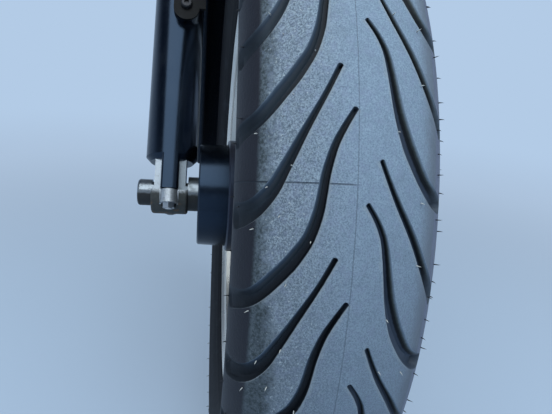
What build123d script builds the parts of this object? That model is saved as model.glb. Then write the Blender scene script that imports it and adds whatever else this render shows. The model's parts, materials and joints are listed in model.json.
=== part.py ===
from build123d import *
import os
from math import cos, radians, sin

# Front end of a cruiser: laced wheel with tyre and brake disc, axle, telescopic fork,
# two fork clamps on a steering stem, brake caliper and fender.
# Units are millimetres. X is forward, Y is to the rider's left, Z is up.
# The origin is the middle of the lower bearing seat on the steering stem.
#
# Everything on the fork is drawn in leg coordinates: the axle is the origin, v is forward
# and square to the legs, y is to the left, and u runs up along the legs. The wheel is drawn
# about its own axle. place() then moves both kinds to the part's own frame.

os.makedirs("parts", exist_ok=True)

# Steering layout
rake = 29.0
yoke_offset = 45.0
leg_spacing = 238.4
stem_to_axle = 540.0
leg_y = leg_spacing / 2

# Fits and running gaps
bearing_gap = 0.05
slide_gap = 0.05
face_gap = 0.4
bolt_gap = 0.2

# Tyre, 130/80-17
tyre_radius = 320.0
crown_radius = 90.8
crown_angle = 31.6
shoulder_radius = 34.4
sidewall_radius = 60.0
sidewall_angle = 40.0
tyre_wall = 9.0
tread_wall = 13.0
bead_width = 14.0

# Rim, 17 inch with a 3 inch wide seat
seat_radius = 218.3
seat_half_width = 38.1
flange_height = 14.0
flange_radius = seat_radius + flange_height
flange_half_width = 48.5
well_depth = 15.3
well_radius = seat_radius - well_depth
well_half_width = 13.0
rim_wall = 4.5
bead_gap = 0.15

# Hub
drum_radius = 57.0
drum_draft = 1.6
drum_face_y = -87.5
drum_edge = 1.5
drum_ring_radius = 63.5
drum_ring_y = -56.0
drum_ring_width = 10.8
spoke_flange_radius = 65.0
spoke_flange_y = 35.5
spoke_flange_thickness = 6.0
hub_core_radius = 32.0
axle_tunnel_radius = 16.0
carrier_radius = 52.0
disc_seat_y = 72.0
boss_radius = 30.0
boss_end_y = 87.5

# Hub bearings
bearing_radius = 26.0
bearing_width = 15.0
bearing_inset = 3.5

# Spokes
spokes_per_set = 10
spoke_radius = 2.0
spoke_circle_radius = 60.3
spoke_lead_angle = 54.0
spoke_hub_stagger = 3.2
nipple_y = 7.0
nipple_stagger = 2.0
nipple_radius = 3.2
nipple_length = 15.0
spoke_head_radius = 3.2
spoke_head_length = 2.6
spoke_hole_gap = 0.15

# Tyre valve
valve_radius = 4.0
valve_length = 34.0
valve_angle = 184.5
valve_nut_radius = 7.5
valve_nut_height = 3.0

# Brake disc
disc_radius = 150.0
disc_inner_radius = 112.0
disc_thickness = 5.0
disc_ring_radius = 54.0
disc_arm_width = 24.0
disc_bolt_circle = 41.0
disc_bolt_radius = 4.0
disc_bolt_head_radius = 6.5
disc_bolt_head = 5.5
disc_bolt_grip = 12.0
disc_bolt_depth = 16.0
disc_bolts = 5
disc_hole_radius = 3.5
disc_hole_rows = ((120.0, 0.0), (131.0, 6.0), (142.0, 12.0))
disc_hole_step = 18.0

# Axle and its spacers
axle_radius = 12.5
axle_head_radius = 14.8
axle_head_length = 15.5
axle_head_edge = 3.0
axle_socket_radius = 6.0
axle_socket_depth = 10.0
axle_thread_radius = 10.0
axle_nut_length = 16.0
axle_nut_radius = 17.0
axle_washer_length = 3.0
axle_stub = 3.0
spacer_radius = 19.5

# Fork legs
slider_radius = 29.0
slider_bottom = 35.0
slider_top = 330.0
slider_collar_radius = 30.5
slider_collar_length = 26.0
tube_radius = 21.5
tube_engagement = 95.0
seal_radius = 28.0
seal_length = 12.0
foot_half_width = 20.0
foot_half_depth = 17.0
foot_waist_half_width = 17.0
foot_pad_height = 5.0
slider_low_edge = 5.0
tongue_half_width = 9.6
tongue_edge = 3.0
stud_boss_radius = 10.0
stud_offset = 19.0
stud_radius = 4.0
stud_grip = 22.0
stud_tail = 1.0
cap_radius = 23.5
cap_edge = 3.0
cap_lug_depth = 15.0
cap_nut_radius = 7.0
cap_nut_height = 5.5
cap_nut_gap = 1.5
cap_split_gap = 1.0
eye_radius = 25.0
eye_rib_half_width = 17.0

# Clamps and stem
clamp_boss_radius = 33.0
stem_boss_radius = 27.0
lower_clamp_thickness = 38.0
upper_clamp_bottom = 196.0
upper_clamp_thickness = 26.0
clamp_slit = 3.0
clamp_waist = 25.0
clamp_waist_margin = 18.0
pinch_bolt_radius = 4.0
pinch_head_radius = 6.5
pinch_head_length = 8.0
pinch_head_inset = 13.0
pinch_bolt_grip = 35.0
pinch_bolt_forward = 27.5
tube_above_clamp = 9.0
fork_cap_radius = 20.0
fork_cap_height = 7.0
fork_hex_radius = 13.0
fork_hex_height = 6.0
stem_press_radius = 16.0
stem_seat_radius = 15.0
stem_seat_half_length = 8.0
lower_clamp_top = -stem_seat_half_length
stem_radius = 14.0
upper_seat_radius = 12.7
upper_seat_bottom = 172.0
stem_thread_radius = 11.0
stem_top = 236.0
stem_nut_height = 12.0
stem_nut_radius = 18.0
stop_width = 16.0
stop_back = 28.0
stop_root = 15.0
stop_low = 18.0
stop_height = 14.0
stop_y = 20.0
riser_hole_radius = 6.25
riser_hole_y = 45.0
riser_hole_forward = 14.0

# Fender
fender_half_width = 88.0
fender_wall = 2.5
fender_gap = 30.0
fender_crown = tyre_radius + fender_gap
fender_arch = 32.0
fender_shoulder = fender_crown - fender_arch
fender_side_depth = 33.0
fender_edge = fender_shoulder - fender_side_depth
fender_corner = 22.0
fender_front_angle = 96.0
fender_rear_angle = 186.0

# Fender brackets
pad_width = 29.0
pad_bottom = 195.0
pad_top = 262.0
pad_face = 35.0
pad_inward = 9.5
bracket_wall = 4.0
bracket_top = fender_shoulder + 13
bracket_low = fender_edge + 8
bracket_flange_back = 15.5
bracket_bolt_radius = 4.0
bracket_bolt_length = 12.0
bracket_bolt_head = 6.5
bracket_bolt_head_length = 5.0
bracket_bolts_u = (214.0, 246.0)
fender_bolts_v = (21.0, 33.0)
fender_bolt_radius = 3.0
fender_bolt_u = fender_shoulder - 10

# Brake caliper
caliper_angle = 45.0
caliper_drop = 17.0
caliper_radius = disc_radius - caliper_drop
caliper_half_length = 50.0
caliper_half_depth = 30.0
caliper_inner_y = 54.0
caliper_outer_y = 107.0
caliper_slot = 13.0
caliper_bridge = 7.0
caliper_window = 44.0
piston_radius = 16.0
piston_cap_height = 3.0
piston_spacing = 21.0
pad_thickness = 3.4
pad_gap = 0.5
pad_half_length = 36.0
pad_inset = 9.0
caliper_bolt_spacing = 76.0
hanger_boss_radius = 13.0
hanger_thickness = 13.0
hanger_feet_u = (62.0, 140.0)
caliper_bolt_radius = 5.0
caliper_bolt_grip = 19.0
caliper_bolt_head = 8.0
caliper_bolt_head_length = 8.0
port_radius = 5.0
port_boss_radius = 8.5
port_boss_height = 9.0


def place():
    """The move from leg coordinates to the part's frame."""
    return Pos(*wheel_centre()) * Rot(0, -rake, 0)


def wheel_centre():
    tilt = radians(rake)
    return (yoke_offset * cos(tilt) + stem_to_axle * sin(tilt), 0,
            yoke_offset * sin(tilt) - stem_to_axle * cos(tilt))


def across(radius, y0, y1, v=0, u=0):
    """A cylinder along the axle's direction."""
    return Pos(v, (y0 + y1) / 2, u) * Rot(90, 0, 0) * Cylinder(radius, abs(y1 - y0))


def upright(radius, u0, u1, v=0, y=0):
    """A cylinder along the legs."""
    return Pos(v, y, (u0 + u1) / 2) * Cylinder(radius, abs(u1 - u0))


def block(v0, v1, y0, y1, u0, u1):
    return Pos((v0 + v1) / 2, (y0 + y1) / 2, (u0 + u1) / 2) * Box(abs(v1 - v0), abs(y1 - y0), abs(u1 - u0))


def hex_upright(radius, u0, height, v=0, y=0):
    return Pos(v, y, u0) * extrude(RegularPolygon(radius, 6), height)


def hex_across(radius, y0, length, v=0, u=0):
    return Pos(v, y0, u) * Rot(-90, 0, 0) * extrude(RegularPolygon(radius, 6), length)


def turned(half):
    """A full ring about the axle from the right half of its section, drawn as (y, radius)."""
    whole = half + mirror(half, Plane.YZ)
    return revolve(Plane.YZ * whole, Axis.Y, 360)


def outlined(curves):
    """A face bounded by curves that meet end to end."""
    return make_face([edge for curve in curves for edge in curve.edges()])


def keep(name, shape, wheel=False):
    """Write one node in the part's frame."""
    frame = Pos(*wheel_centre()) if wheel else place()
    solids = (frame * shape).solids()
    shape = solids[0] if len(solids) == 1 else Compound(solids)
    shape.label = name
    export_step(shape, f"parts/{name}.step")


# Tyre: a hollow carcass on two beads, its tread left smooth
def tyre():
    crown = radians(crown_angle)
    edge = (crown_radius * sin(crown), tyre_radius - crown_radius * (1 - cos(crown)))
    shoulder_y = (crown_radius - shoulder_radius) * sin(crown)
    widest_r = tyre_radius - crown_radius + (crown_radius - shoulder_radius) * cos(crown)
    widest = (shoulder_y + shoulder_radius, widest_r)
    middle = radians(crown_angle / 2)
    crown_mid = (crown_radius * sin(middle), tyre_radius - crown_radius * (1 - cos(middle)))
    turn = radians((90 + crown_angle) / 2)
    shoulder_mid = (shoulder_y + shoulder_radius * sin(turn), widest_r + shoulder_radius * cos(turn))
    low = radians(sidewall_angle)
    side_end = (widest[0] - sidewall_radius * (1 - cos(low)), widest_r - sidewall_radius * sin(low))
    side_mid = (widest[0] - sidewall_radius * (1 - cos(low / 2)), widest_r - sidewall_radius * sin(low / 2))
    bead_y = seat_half_width - bead_gap
    bead_top = side_end[1] - tyre_wall / 2
    toe = (bead_y - bead_width, seat_radius + bead_gap)
    heel = (bead_y, seat_radius + bead_gap)
    inner_low = (bead_y - tyre_wall, bead_top)
    inner_wide = (widest[0] - tyre_wall, widest_r)
    inner_high = (edge[0] - tyre_wall, edge[1] - tread_wall)
    inner_top = (0, tyre_radius - tread_wall)
    outline = [
        ThreePointArc((0, tyre_radius), crown_mid, edge),
        ThreePointArc(edge, shoulder_mid, widest),
        ThreePointArc(widest, side_mid, side_end),
        Polyline(side_end, (bead_y, bead_top), heel, toe, inner_low),
        ThreePointArc(inner_low, inner_wide, inner_high),
        Line(inner_high, inner_top),
        Line(inner_top, (0, tyre_radius)),
    ]
    return turned(outlined(outline))


# Rim: a rolled steel section with a deep well for the spoke nipples
def rim():
    lip = flange_half_width - 1
    outline = Polyline(
        (0, well_radius), (well_half_width, well_radius), (well_half_width + 7, seat_radius - 1),
        (seat_half_width - 3, seat_radius), (seat_half_width, seat_radius),
        (seat_half_width + 0.5, flange_radius - 4), (lip - 3, flange_radius), (lip, flange_radius),
        (flange_half_width, flange_radius - 2), (flange_half_width - 4, flange_radius - 5),
        (seat_half_width + rim_wall, seat_radius - rim_wall),
        (well_half_width + 9, seat_radius - rim_wall - 2.5),
        (well_half_width + 4, well_radius - rim_wall), (0, well_radius - rim_wall), close=True)
    ring = turned(make_face(outline))
    hole = valve_position() * Cylinder(valve_radius + bolt_gap, 6 * rim_wall)
    return ring - nipple_holes() - hole


# Valve: a short stem that points from the well to the hub
def valve_position():
    return Rot(0, valve_angle, 0) * Pos(0, 0, well_radius - rim_wall / 2)


def valve_stem():
    stem = Cylinder(valve_radius, valve_length)
    nut = extrude(RegularPolygon(valve_nut_radius, 6), valve_nut_height)
    low = well_radius - rim_wall
    return Rot(0, valve_angle, 0) * (Pos(0, 0, low + rim_wall - valve_length / 2) * stem
                                     + Pos(0, 0, low - valve_nut_height - bolt_gap) * nut)


# Spokes: two crossed sets on each side, each spoke with its head and nipple
def spoke_ends(side, lead):
    hub_y = side * (spoke_flange_y + spoke_flange_thickness / 2 + lead * spoke_hub_stagger)
    rim_y = side * (nipple_y + lead * nipple_stagger)
    turn = radians(lead * spoke_lead_angle)
    start = Vector(spoke_circle_radius * sin(turn), hub_y, spoke_circle_radius * cos(turn))
    end = Vector(0, rim_y, well_radius - 0.5)
    return start, end


def spoke(side, lead, gap=0.0):
    start, end = spoke_ends(side, lead)
    line = Plane(start, z_dir=end - start)
    length = (end - start).length
    wire = Pos(0, 0, length / 2) * Cylinder(spoke_radius + gap, length)
    head = Pos(0, 0, -spoke_head_length / 2) * Cylinder(spoke_head_radius + gap, spoke_head_length + 2 * gap)
    nipple = Pos(0, 0, length - nipple_length / 2) * Cylinder(nipple_radius + gap, nipple_length + 2 * gap)
    return line * (wire + head + nipple)


def spoke_set(gap=0.0):
    step = 360 / spokes_per_set
    copies = []
    for side in (1, -1):
        for lead in (1, -1):
            one = spoke(side, lead, gap)
            start = (0 if side > 0 else step / 4) + (0 if lead > 0 else step / 2)
            copies += [Rot(0, start + step * n, 0) * one for n in range(spokes_per_set)]
    return copies


def nipple_holes():
    return spoke_set(spoke_hole_gap)


# Hub: a drum and ring on the right, a spoke flange each side and the disc's seat on the left
def drum(flange_end):
    """The turned drum on the right, with a wider ring behind it."""
    length = -flange_end - drum_face_y
    middle = (drum_face_y - flange_end) / 2
    body = Pos(0, middle, 0) * Rot(90, 0, 0) * Cone(drum_radius + drum_draft, drum_radius, length)
    body = chamfer(body.faces().sort_by(Axis.Y)[0].edges(), drum_edge)
    ring = across(drum_ring_radius, drum_ring_y, drum_ring_y + drum_ring_width)
    return body + chamfer(ring.edges().filter_by(GeomType.CIRCLE), drum_edge)


def hub():
    flange_end = spoke_flange_y + spoke_flange_thickness
    body = across(hub_core_radius, -spoke_flange_y, spoke_flange_y)
    body += across(spoke_flange_radius, -flange_end, -spoke_flange_y)
    body += across(spoke_flange_radius, spoke_flange_y, flange_end)
    body += drum(flange_end)
    body += across(carrier_radius, flange_end, disc_seat_y)
    body += across(boss_radius, disc_seat_y, boss_end_y)
    seat = boss_end_y - bearing_inset - bearing_width
    body -= across(axle_tunnel_radius, drum_face_y, boss_end_y)
    body -= across(bearing_radius, drum_face_y, -seat) + across(bearing_radius, seat, boss_end_y)
    for v, u in disc_bolt_places():
        body -= across(disc_bolt_radius, disc_seat_y - disc_bolt_depth, disc_seat_y, v, u)
    return body - spoke_set(spoke_hole_gap)


def hub_bearings():
    rings = []
    for side in (1, -1):
        outer = side * (boss_end_y - bearing_inset)
        inner = outer - side * bearing_width
        ring = across(bearing_radius, outer, inner) - across(axle_radius + bearing_gap, outer, inner)
        rings.append(ring)
    return rings


# Brake disc: a drilled band on five arms
def disc_bolt_places():
    turns = [radians(360 / disc_bolts * n) for n in range(disc_bolts)]
    return [(disc_bolt_circle * sin(t), disc_bolt_circle * cos(t)) for t in turns]


def brake_disc():
    low, high = disc_seat_y, disc_seat_y + disc_thickness
    band = across(disc_radius, low, high) - across(disc_inner_radius, low, high)
    plate = across(disc_ring_radius, low, high)
    for n in range(disc_bolts):
        arm = block(-disc_arm_width / 2, disc_arm_width / 2, low, high, 0, disc_inner_radius + 2)
        plate += Rot(0, 360 / disc_bolts * n, 0) * arm
    plate = plate - across(boss_radius + bolt_gap, low, high) + band
    for v, u in disc_bolt_places():
        plate -= across(disc_bolt_radius + bolt_gap, low, high, v, u)
    holes = []
    for radius, start in disc_hole_rows:
        for n in range(int(360 / disc_hole_step)):
            turn = radians(start + disc_hole_step * n)
            holes.append(across(disc_hole_radius, low, high, radius * sin(turn), radius * cos(turn)))
    return plate - holes


def disc_bolt_set():
    top = disc_seat_y + disc_thickness
    bolts = []
    for v, u in disc_bolt_places():
        shank = across(disc_bolt_radius, disc_seat_y - disc_bolt_grip, top, v, u)
        bolts.append(shank + across(disc_bolt_head_radius, top, top + disc_bolt_head, v, u))
    return bolts


# Axle: headed on the right, nut and washer on the left
foot_outer_y = leg_y + foot_half_width
foot_inner_y = leg_y - foot_half_width


def axle():
    nut_end = foot_outer_y + axle_washer_length + axle_nut_length + axle_stub
    body = across(axle_radius, -foot_outer_y, foot_outer_y)
    head = across(axle_head_radius, -foot_outer_y - axle_head_length, -foot_outer_y)
    body += fillet(head.faces().sort_by(Axis.Y)[0].edges(), axle_head_edge)
    body += across(axle_thread_radius, foot_outer_y, nut_end)
    end = -foot_outer_y - axle_head_length
    return body - across(axle_socket_radius, end, end + axle_socket_depth)


def axle_nut():
    start = foot_outer_y + axle_washer_length
    nut = hex_across(axle_nut_radius, start, axle_nut_length)
    return nut - across(axle_thread_radius + bolt_gap, start, start + axle_nut_length)


def axle_washer():
    end = foot_outer_y + axle_washer_length
    return across(axle_nut_radius + 1, foot_outer_y, end) - across(axle_thread_radius + bolt_gap, foot_outer_y, end)


def spacer(side):
    inner = side * (boss_end_y - bearing_inset + face_gap)
    outer = side * foot_inner_y
    return across(spacer_radius, inner, outer) - across(axle_radius + slide_gap, inner, outer)


# Fork sliders: painted castings, the right one with a capped foot, the left with an eye
def slider_barrel(side):
    y = side * leg_y
    body = upright(slider_radius, slider_bottom, slider_top, 0, y)
    low_edge = body.faces().sort_by(Axis.Z)[0].edges()
    body = chamfer(low_edge, slider_low_edge)
    body += upright(slider_collar_radius, slider_top - slider_collar_length, slider_top, 0, y)
    return body + fender_pad(side)


def fender_pad(side):
    centre = side * (leg_y - pad_inward)
    half = pad_width / 2
    pad = block(0, pad_face, centre - half, centre + half, pad_bottom + half, pad_top)
    return pad + Pos(pad_face / 2, centre, pad_bottom + half) * Rot(0, 90, 0) * Cylinder(half, pad_face)


def slider_bores(side):
    y = side * leg_y
    bore = upright(tube_radius + slide_gap, slider_top - tube_engagement, slider_top, 0, y)
    for u in bracket_bolts_u:
        bore += bracket_bolt_hole(side, u)
    return bore


def bracket_bolt_hole(side, u):
    depth = 9
    return (Pos(pad_face - depth / 2, side * (leg_y - pad_inward), u) * Rot(0, 90, 0)
            * Cylinder(bracket_bolt_radius, depth))


def tongue(y):
    """The barrel's front and back, carried down between the foot's flats to the split."""
    low, high = cap_split_gap / 2, slider_bottom + slider_low_edge + 1
    body = upright(slider_radius, low, high, 0, y)
    body &= block(-slider_radius, slider_radius, y - tongue_half_width, y + tongue_half_width, low, high)
    return fillet(body.edges().filter_by(Axis.Z), tongue_edge)


def slider_right():
    y = -leg_y
    body = slider_barrel(-1)
    foot = block(-foot_half_depth, foot_half_depth, y - foot_half_width, y + foot_half_width,
                 cap_split_gap / 2, foot_pad_height)
    foot += block(-foot_half_depth, foot_half_depth, y - foot_waist_half_width, y + foot_waist_half_width,
                  cap_split_gap / 2, slider_bottom + 6)
    body += foot + tongue(y)
    body -= across(axle_radius + slide_gap, y - foot_half_width - 1, y + foot_half_width + 1)
    for v in (-stud_offset, stud_offset):
        body -= upright(stud_radius + slide_gap, 0, stud_grip + 2, v, y)
    return body - slider_bores(-1)


def axle_cap():
    y = -leg_y
    low, high = y - foot_half_width, y + foot_half_width
    body = across(cap_radius, low, high)
    body = fillet(body.edges().filter_by(GeomType.CIRCLE), cap_edge)
    for v in (-stud_offset, stud_offset):
        body += upright(stud_boss_radius, -cap_lug_depth, 0, v, y)
    reach = cap_radius + stud_offset
    body &= block(-reach, reach, low, high, -reach, -cap_split_gap / 2)
    body -= across(axle_radius + slide_gap, low, high)
    for v in (-stud_offset, stud_offset):
        body -= upright(stud_radius + slide_gap, -cap_lug_depth, 0, v, y)
        body -= upright(cap_nut_radius + cap_nut_gap, -cap_radius, -cap_lug_depth, v, y)
    return body


def cap_studs():
    studs = []
    for v in (-stud_offset, stud_offset):
        nut_low = -cap_lug_depth - cap_nut_height
        stud = upright(stud_radius, nut_low - stud_tail, stud_grip, v, -leg_y)
        studs.append(stud + hex_upright(cap_nut_radius, nut_low, cap_nut_height, v, -leg_y))
    return studs


def slider_left():
    y = leg_y
    body = slider_barrel(1)
    body += across(eye_radius, foot_inner_y, foot_outer_y)
    body += block(-eye_rib_half_width, eye_rib_half_width, foot_inner_y, foot_outer_y, 0, slider_bottom + 6)
    body += hanger()
    body -= across(axle_radius + slide_gap, foot_inner_y - 1, foot_outer_y + 1)
    for v, u in caliper_bolt_places():
        body -= across(caliper_bolt_radius + bolt_gap, y - slider_radius, y + slider_radius, v, u)
    return body - slider_bores(1)


def hanger():
    """The cast arm behind the left slider that carries the caliper."""
    circles = [Pos(v, u) * Circle(hanger_boss_radius) for v, u in caliper_bolt_places()]
    circles += [Pos(-6, u) * Circle(hanger_boss_radius) for u in hanger_feet_u]
    edges = ShapeList()
    for circle in circles:
        edges += circle.edges()
    plate = extrude(make_hull(edges), hanger_thickness)
    return Pos(0, caliper_outer_y + hanger_thickness, 0) * Rot(90, 0, 0) * plate


def fork_tube(side):
    y = side * leg_y
    top = stem_to_axle + upper_clamp_bottom + upper_clamp_thickness + tube_above_clamp
    return upright(tube_radius, slider_top - tube_engagement + 1, top, 0, y)


def dust_seal(side):
    y = side * leg_y
    ring = upright(seal_radius, slider_top, slider_top + seal_length, 0, y)
    ring = fillet(ring.faces().sort_by(Axis.Z)[-1].edges(), 3)
    return ring - upright(tube_radius + slide_gap, slider_top, slider_top + seal_length, 0, y)


def fork_cap(side):
    y = side * leg_y
    low = stem_to_axle + upper_clamp_bottom + upper_clamp_thickness + tube_above_clamp
    body = upright(fork_cap_radius, low, low + fork_cap_height, 0, y)
    return body + hex_upright(fork_hex_radius, low + fork_cap_height, fork_hex_height, 0, y)


# Fork clamps: two cast plates, split and pinched at each leg
def clamp_plate(low, thickness):
    left = Pos(0, leg_y) * Circle(clamp_boss_radius)
    right = Pos(0, -leg_y) * Circle(clamp_boss_radius)
    stem = Pos(-yoke_offset, 0) * Circle(stem_boss_radius)
    edges = left.edges() + right.edges() + stem.edges()
    plate = make_hull(edges)
    reach = leg_y - clamp_boss_radius - clamp_waist_margin
    plate -= Pos(clamp_boss_radius, 0) * SlotOverall(2 * reach, 2 * clamp_waist, rotation=90)
    body = Pos(0, 0, low) * extrude(plate, thickness)
    for side in (1, -1):
        y = side * leg_y
        body -= upright(tube_radius + slide_gap, low, low + thickness, 0, y)
        body -= block(0, clamp_boss_radius + 1, y - clamp_slit / 2, y + clamp_slit / 2, low, low + thickness)
        body -= pinch_hole(side, low + thickness / 2)
    return body


def pinch_hole(side, u):
    y = side * leg_y
    half = clamp_boss_radius
    reach = half - pinch_head_inset
    hole = across(pinch_bolt_radius + bolt_gap, y - half, y + half, pinch_bolt_forward, u)
    return hole + across(pinch_head_radius + 1, y + side * reach, y + side * (half + 6), pinch_bolt_forward, u)


def pinch_bolts():
    bolts = []
    for side in (1, -1):
        for low, thick in clamp_levels():
            y = side * leg_y
            head = y + side * (clamp_boss_radius - pinch_head_inset)
            end = head - side * pinch_bolt_grip
            bolt = across(pinch_bolt_radius, end, head, pinch_bolt_forward, low + thick / 2)
            bolt += across(pinch_head_radius, head, head + side * pinch_head_length,
                           pinch_bolt_forward, low + thick / 2)
            bolts.append(bolt)
    return bolts


def clamp_levels():
    lower = stem_to_axle + lower_clamp_top - lower_clamp_thickness
    return ((lower, lower_clamp_thickness), (stem_to_axle + upper_clamp_bottom, upper_clamp_thickness))


def lower_clamp():
    low, thick = clamp_levels()[0]
    body = clamp_plate(low, thick)
    for side in (1, -1):
        y = side * stop_y
        body += block(-yoke_offset - stop_back, -yoke_offset - stop_root, y - stop_width / 2, y + stop_width / 2,
                      low + stop_low, low + stop_low + stop_height)
    return body - upright(stem_press_radius, low, low + thick, -yoke_offset)


def upper_clamp():
    low, thick = clamp_levels()[1]
    body = clamp_plate(low, thick)
    body -= upright(stem_thread_radius + bolt_gap, low, low + thick, -yoke_offset)
    for side in (1, -1):
        body -= upright(riser_hole_radius, low, low + thick, -yoke_offset + riser_hole_forward,
                        side * riser_hole_y)
    return body


def steering_stem():
    low = stem_to_axle + lower_clamp_top - lower_clamp_thickness
    levels = (
        (stem_press_radius, low, low + lower_clamp_thickness),
        (stem_seat_radius, low + lower_clamp_thickness, stem_to_axle + stem_seat_half_length),
        (stem_radius, stem_to_axle + stem_seat_half_length, stem_to_axle + upper_seat_bottom),
        (upper_seat_radius, stem_to_axle + upper_seat_bottom, stem_to_axle + upper_clamp_bottom),
        (stem_thread_radius, stem_to_axle + upper_clamp_bottom, stem_to_axle + stem_top),
    )
    body = None
    for radius, u0, u1 in levels:
        step = upright(radius, u0, u1, -yoke_offset)
        body = step if body is None else body + step
    return body


def stem_nut():
    low = stem_to_axle + upper_clamp_bottom + upper_clamp_thickness
    nut = hex_upright(stem_nut_radius, low, stem_nut_height, -yoke_offset)
    return nut - upright(stem_thread_radius + bolt_gap, low, low + stem_nut_height, -yoke_offset)


# Fender: a pressed steel arch with deep sides
def fender_section(half_width, crown, shoulder, corner):
    outline = [
        Polyline((half_width, shoulder), (half_width, fender_edge), (-half_width, fender_edge),
                 (-half_width, shoulder)),
        ThreePointArc((-half_width, shoulder), (0, crown), (half_width, shoulder)),
    ]
    face = outlined(outline)
    tops = face.vertices().filter_by(lambda p: abs(p.Y - shoulder) < 0.01)
    return fillet(tops, corner)


def fender():
    outer = fender_section(fender_half_width, fender_crown, fender_shoulder, fender_corner)
    inner = fender_section(fender_half_width - fender_wall, fender_crown - fender_wall,
                           fender_shoulder - fender_wall / 2, fender_corner - fender_wall)
    shell = Plane.YZ * (outer - inner)
    turn = fender_rear_angle - fender_front_angle
    arch = revolve(shell, Axis.Y, turn)
    body = Rot(0, -(fender_rear_angle - 90), 0) * arch
    body = Rot(0, rake, 0) * body
    for side in (1, -1):
        for v in fender_bolts_v:
            y = side * fender_half_width
            body -= across(fender_bolt_radius + bolt_gap, y - 3 * fender_wall, y, v, fender_bolt_u)
            body -= across(fender_bolt_radius + bolt_gap, y, y + 3 * fender_wall, v, fender_bolt_u)
    return body


def fender_bracket(side):
    centre = side * (leg_y - pad_inward)
    half = pad_width / 2
    inner_y = side * fender_half_width
    face = block(pad_face, pad_face + bracket_wall, inner_y, centre + side * half,
                 pad_bottom + half, bracket_top)
    face += (Pos(pad_face + bracket_wall / 2, centre, pad_bottom + half) * Rot(0, 90, 0)
             * Cylinder(half, bracket_wall))
    flange = block(bracket_flange_back, pad_face + bracket_wall, inner_y, inner_y + side * bracket_wall,
                   bracket_low, bracket_top)
    body = face + flange
    for u in bracket_bolts_u:
        body -= bracket_hole(side, u)
    for v in fender_bolts_v:
        body -= across(fender_bolt_radius + bolt_gap, inner_y, inner_y + side * bracket_wall, v, fender_bolt_u)
    return body


def bracket_hole(side, u):
    return (Pos(pad_face + bracket_wall / 2, side * (leg_y - pad_inward), u) * Rot(0, 90, 0)
            * Cylinder(bracket_bolt_radius + bolt_gap, bracket_wall))


def bracket_bolts(side):
    front = pad_face + bracket_wall
    bolts = []
    for u in bracket_bolts_u:
        turn = Pos(0, side * (leg_y - pad_inward), u) * Rot(0, 90, 0)
        shank = turn * (Pos(0, 0, front - bracket_bolt_length / 2)
                        * Cylinder(bracket_bolt_radius - slide_gap, bracket_bolt_length))
        head = turn * (Pos(0, 0, front + bracket_bolt_head_length / 2)
                       * Cylinder(bracket_bolt_head, bracket_bolt_head_length))
        bolts.append(shank + head)
    return bolts


# Caliper: a two-piece casting over the disc, hung behind the left slider
def caliper_place():
    return Rot(0, -caliper_angle, 0) * Pos(0, 0, caliper_radius)


def caliper_bolt_places():
    turn = radians(caliper_angle)
    places = []
    for along in (caliper_bolt_spacing / 2, -caliper_bolt_spacing / 2):
        v = -caliper_radius * sin(turn) + along * cos(turn)
        u = caliper_radius * cos(turn) + along * sin(turn)
        places.append((v, u))
    return places


def caliper():
    body = block(-caliper_half_length, caliper_half_length, caliper_inner_y, caliper_outer_y,
                 -caliper_half_depth, caliper_half_depth)
    body = fillet(body.edges().filter_by(Axis.Y), 12)
    body = chamfer(body.faces().sort_by(Axis.Y)[-1].edges(), 3)
    centre = disc_seat_y + disc_thickness / 2
    low, high = centre - caliper_slot / 2, centre + caliper_slot / 2
    body -= block(-caliper_half_length, caliper_half_length, low, high,
                  -caliper_half_depth, caliper_half_depth - caliper_bridge)
    half = caliper_window / 2
    body -= block(-half, half, low, high, -caliper_half_depth, caliper_half_depth)
    for along in (-piston_spacing, piston_spacing):
        body += across(piston_radius, caliper_inner_y - piston_cap_height, caliper_inner_y + 2, along, 0)
    body += upright(port_boss_radius, caliper_half_depth - 1, caliper_half_depth + port_boss_height,
                    -caliper_half_length + 16, caliper_outer_y - 14)
    body -= upright(port_radius, caliper_half_depth + port_boss_height - 14,
                    caliper_half_depth + port_boss_height, -caliper_half_length + 16, caliper_outer_y - 14)
    body = caliper_place() * body
    for v, u in caliper_bolt_places():
        body -= across(caliper_bolt_radius, caliper_outer_y - caliper_bolt_grip - 1, caliper_outer_y, v, u)
    return body


def caliper_bolt_set():
    bolts = []
    face = caliper_outer_y + hanger_thickness
    for v, u in caliper_bolt_places():
        bolt = across(caliper_bolt_radius - slide_gap, caliper_outer_y - caliper_bolt_grip, face, v, u)
        bolts.append(bolt + hex_across(caliper_bolt_head, face, caliper_bolt_head_length, v, u))
    return bolts


def brake_pads():
    pads = []
    for side in (1, -1):
        face = disc_seat_y + disc_thickness / 2 + side * (disc_thickness / 2 + pad_gap)
        pad = block(-pad_half_length, pad_half_length, face, face + side * pad_thickness,
                    -caliper_half_depth + pad_inset, caliper_drop)
        pads.append(caliper_place() * pad)
    return pads


wheel_nodes = {
    "tyre": tyre, "rim": rim, "valve_stem": valve_stem, "spokes": spoke_set, "hub": hub,
    "hub_bearings": hub_bearings, "brake_disc": brake_disc, "disc_bolts": disc_bolt_set,
}
fork_nodes = {
    "axle": axle, "axle_nut": axle_nut, "axle_washer": axle_washer,
    "slider_right": slider_right, "slider_left": slider_left,
    "axle_cap": axle_cap, "cap_studs": cap_studs,
    "lower_clamp": lower_clamp, "upper_clamp": upper_clamp, "pinch_bolts": pinch_bolts,
    "steering_stem": steering_stem, "stem_nut": stem_nut, "fender": fender,
    "caliper": caliper, "caliper_bolts": caliper_bolt_set, "brake_pads": brake_pads,
}
paired_nodes = {
    "spacer": spacer, "fork_tube": fork_tube, "dust_seal": dust_seal, "fork_cap": fork_cap,
    "fender_bracket": fender_bracket, "bracket_bolts": bracket_bolts,
}


def gathered(made):
    return Compound(made) if isinstance(made, list) else made


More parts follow.
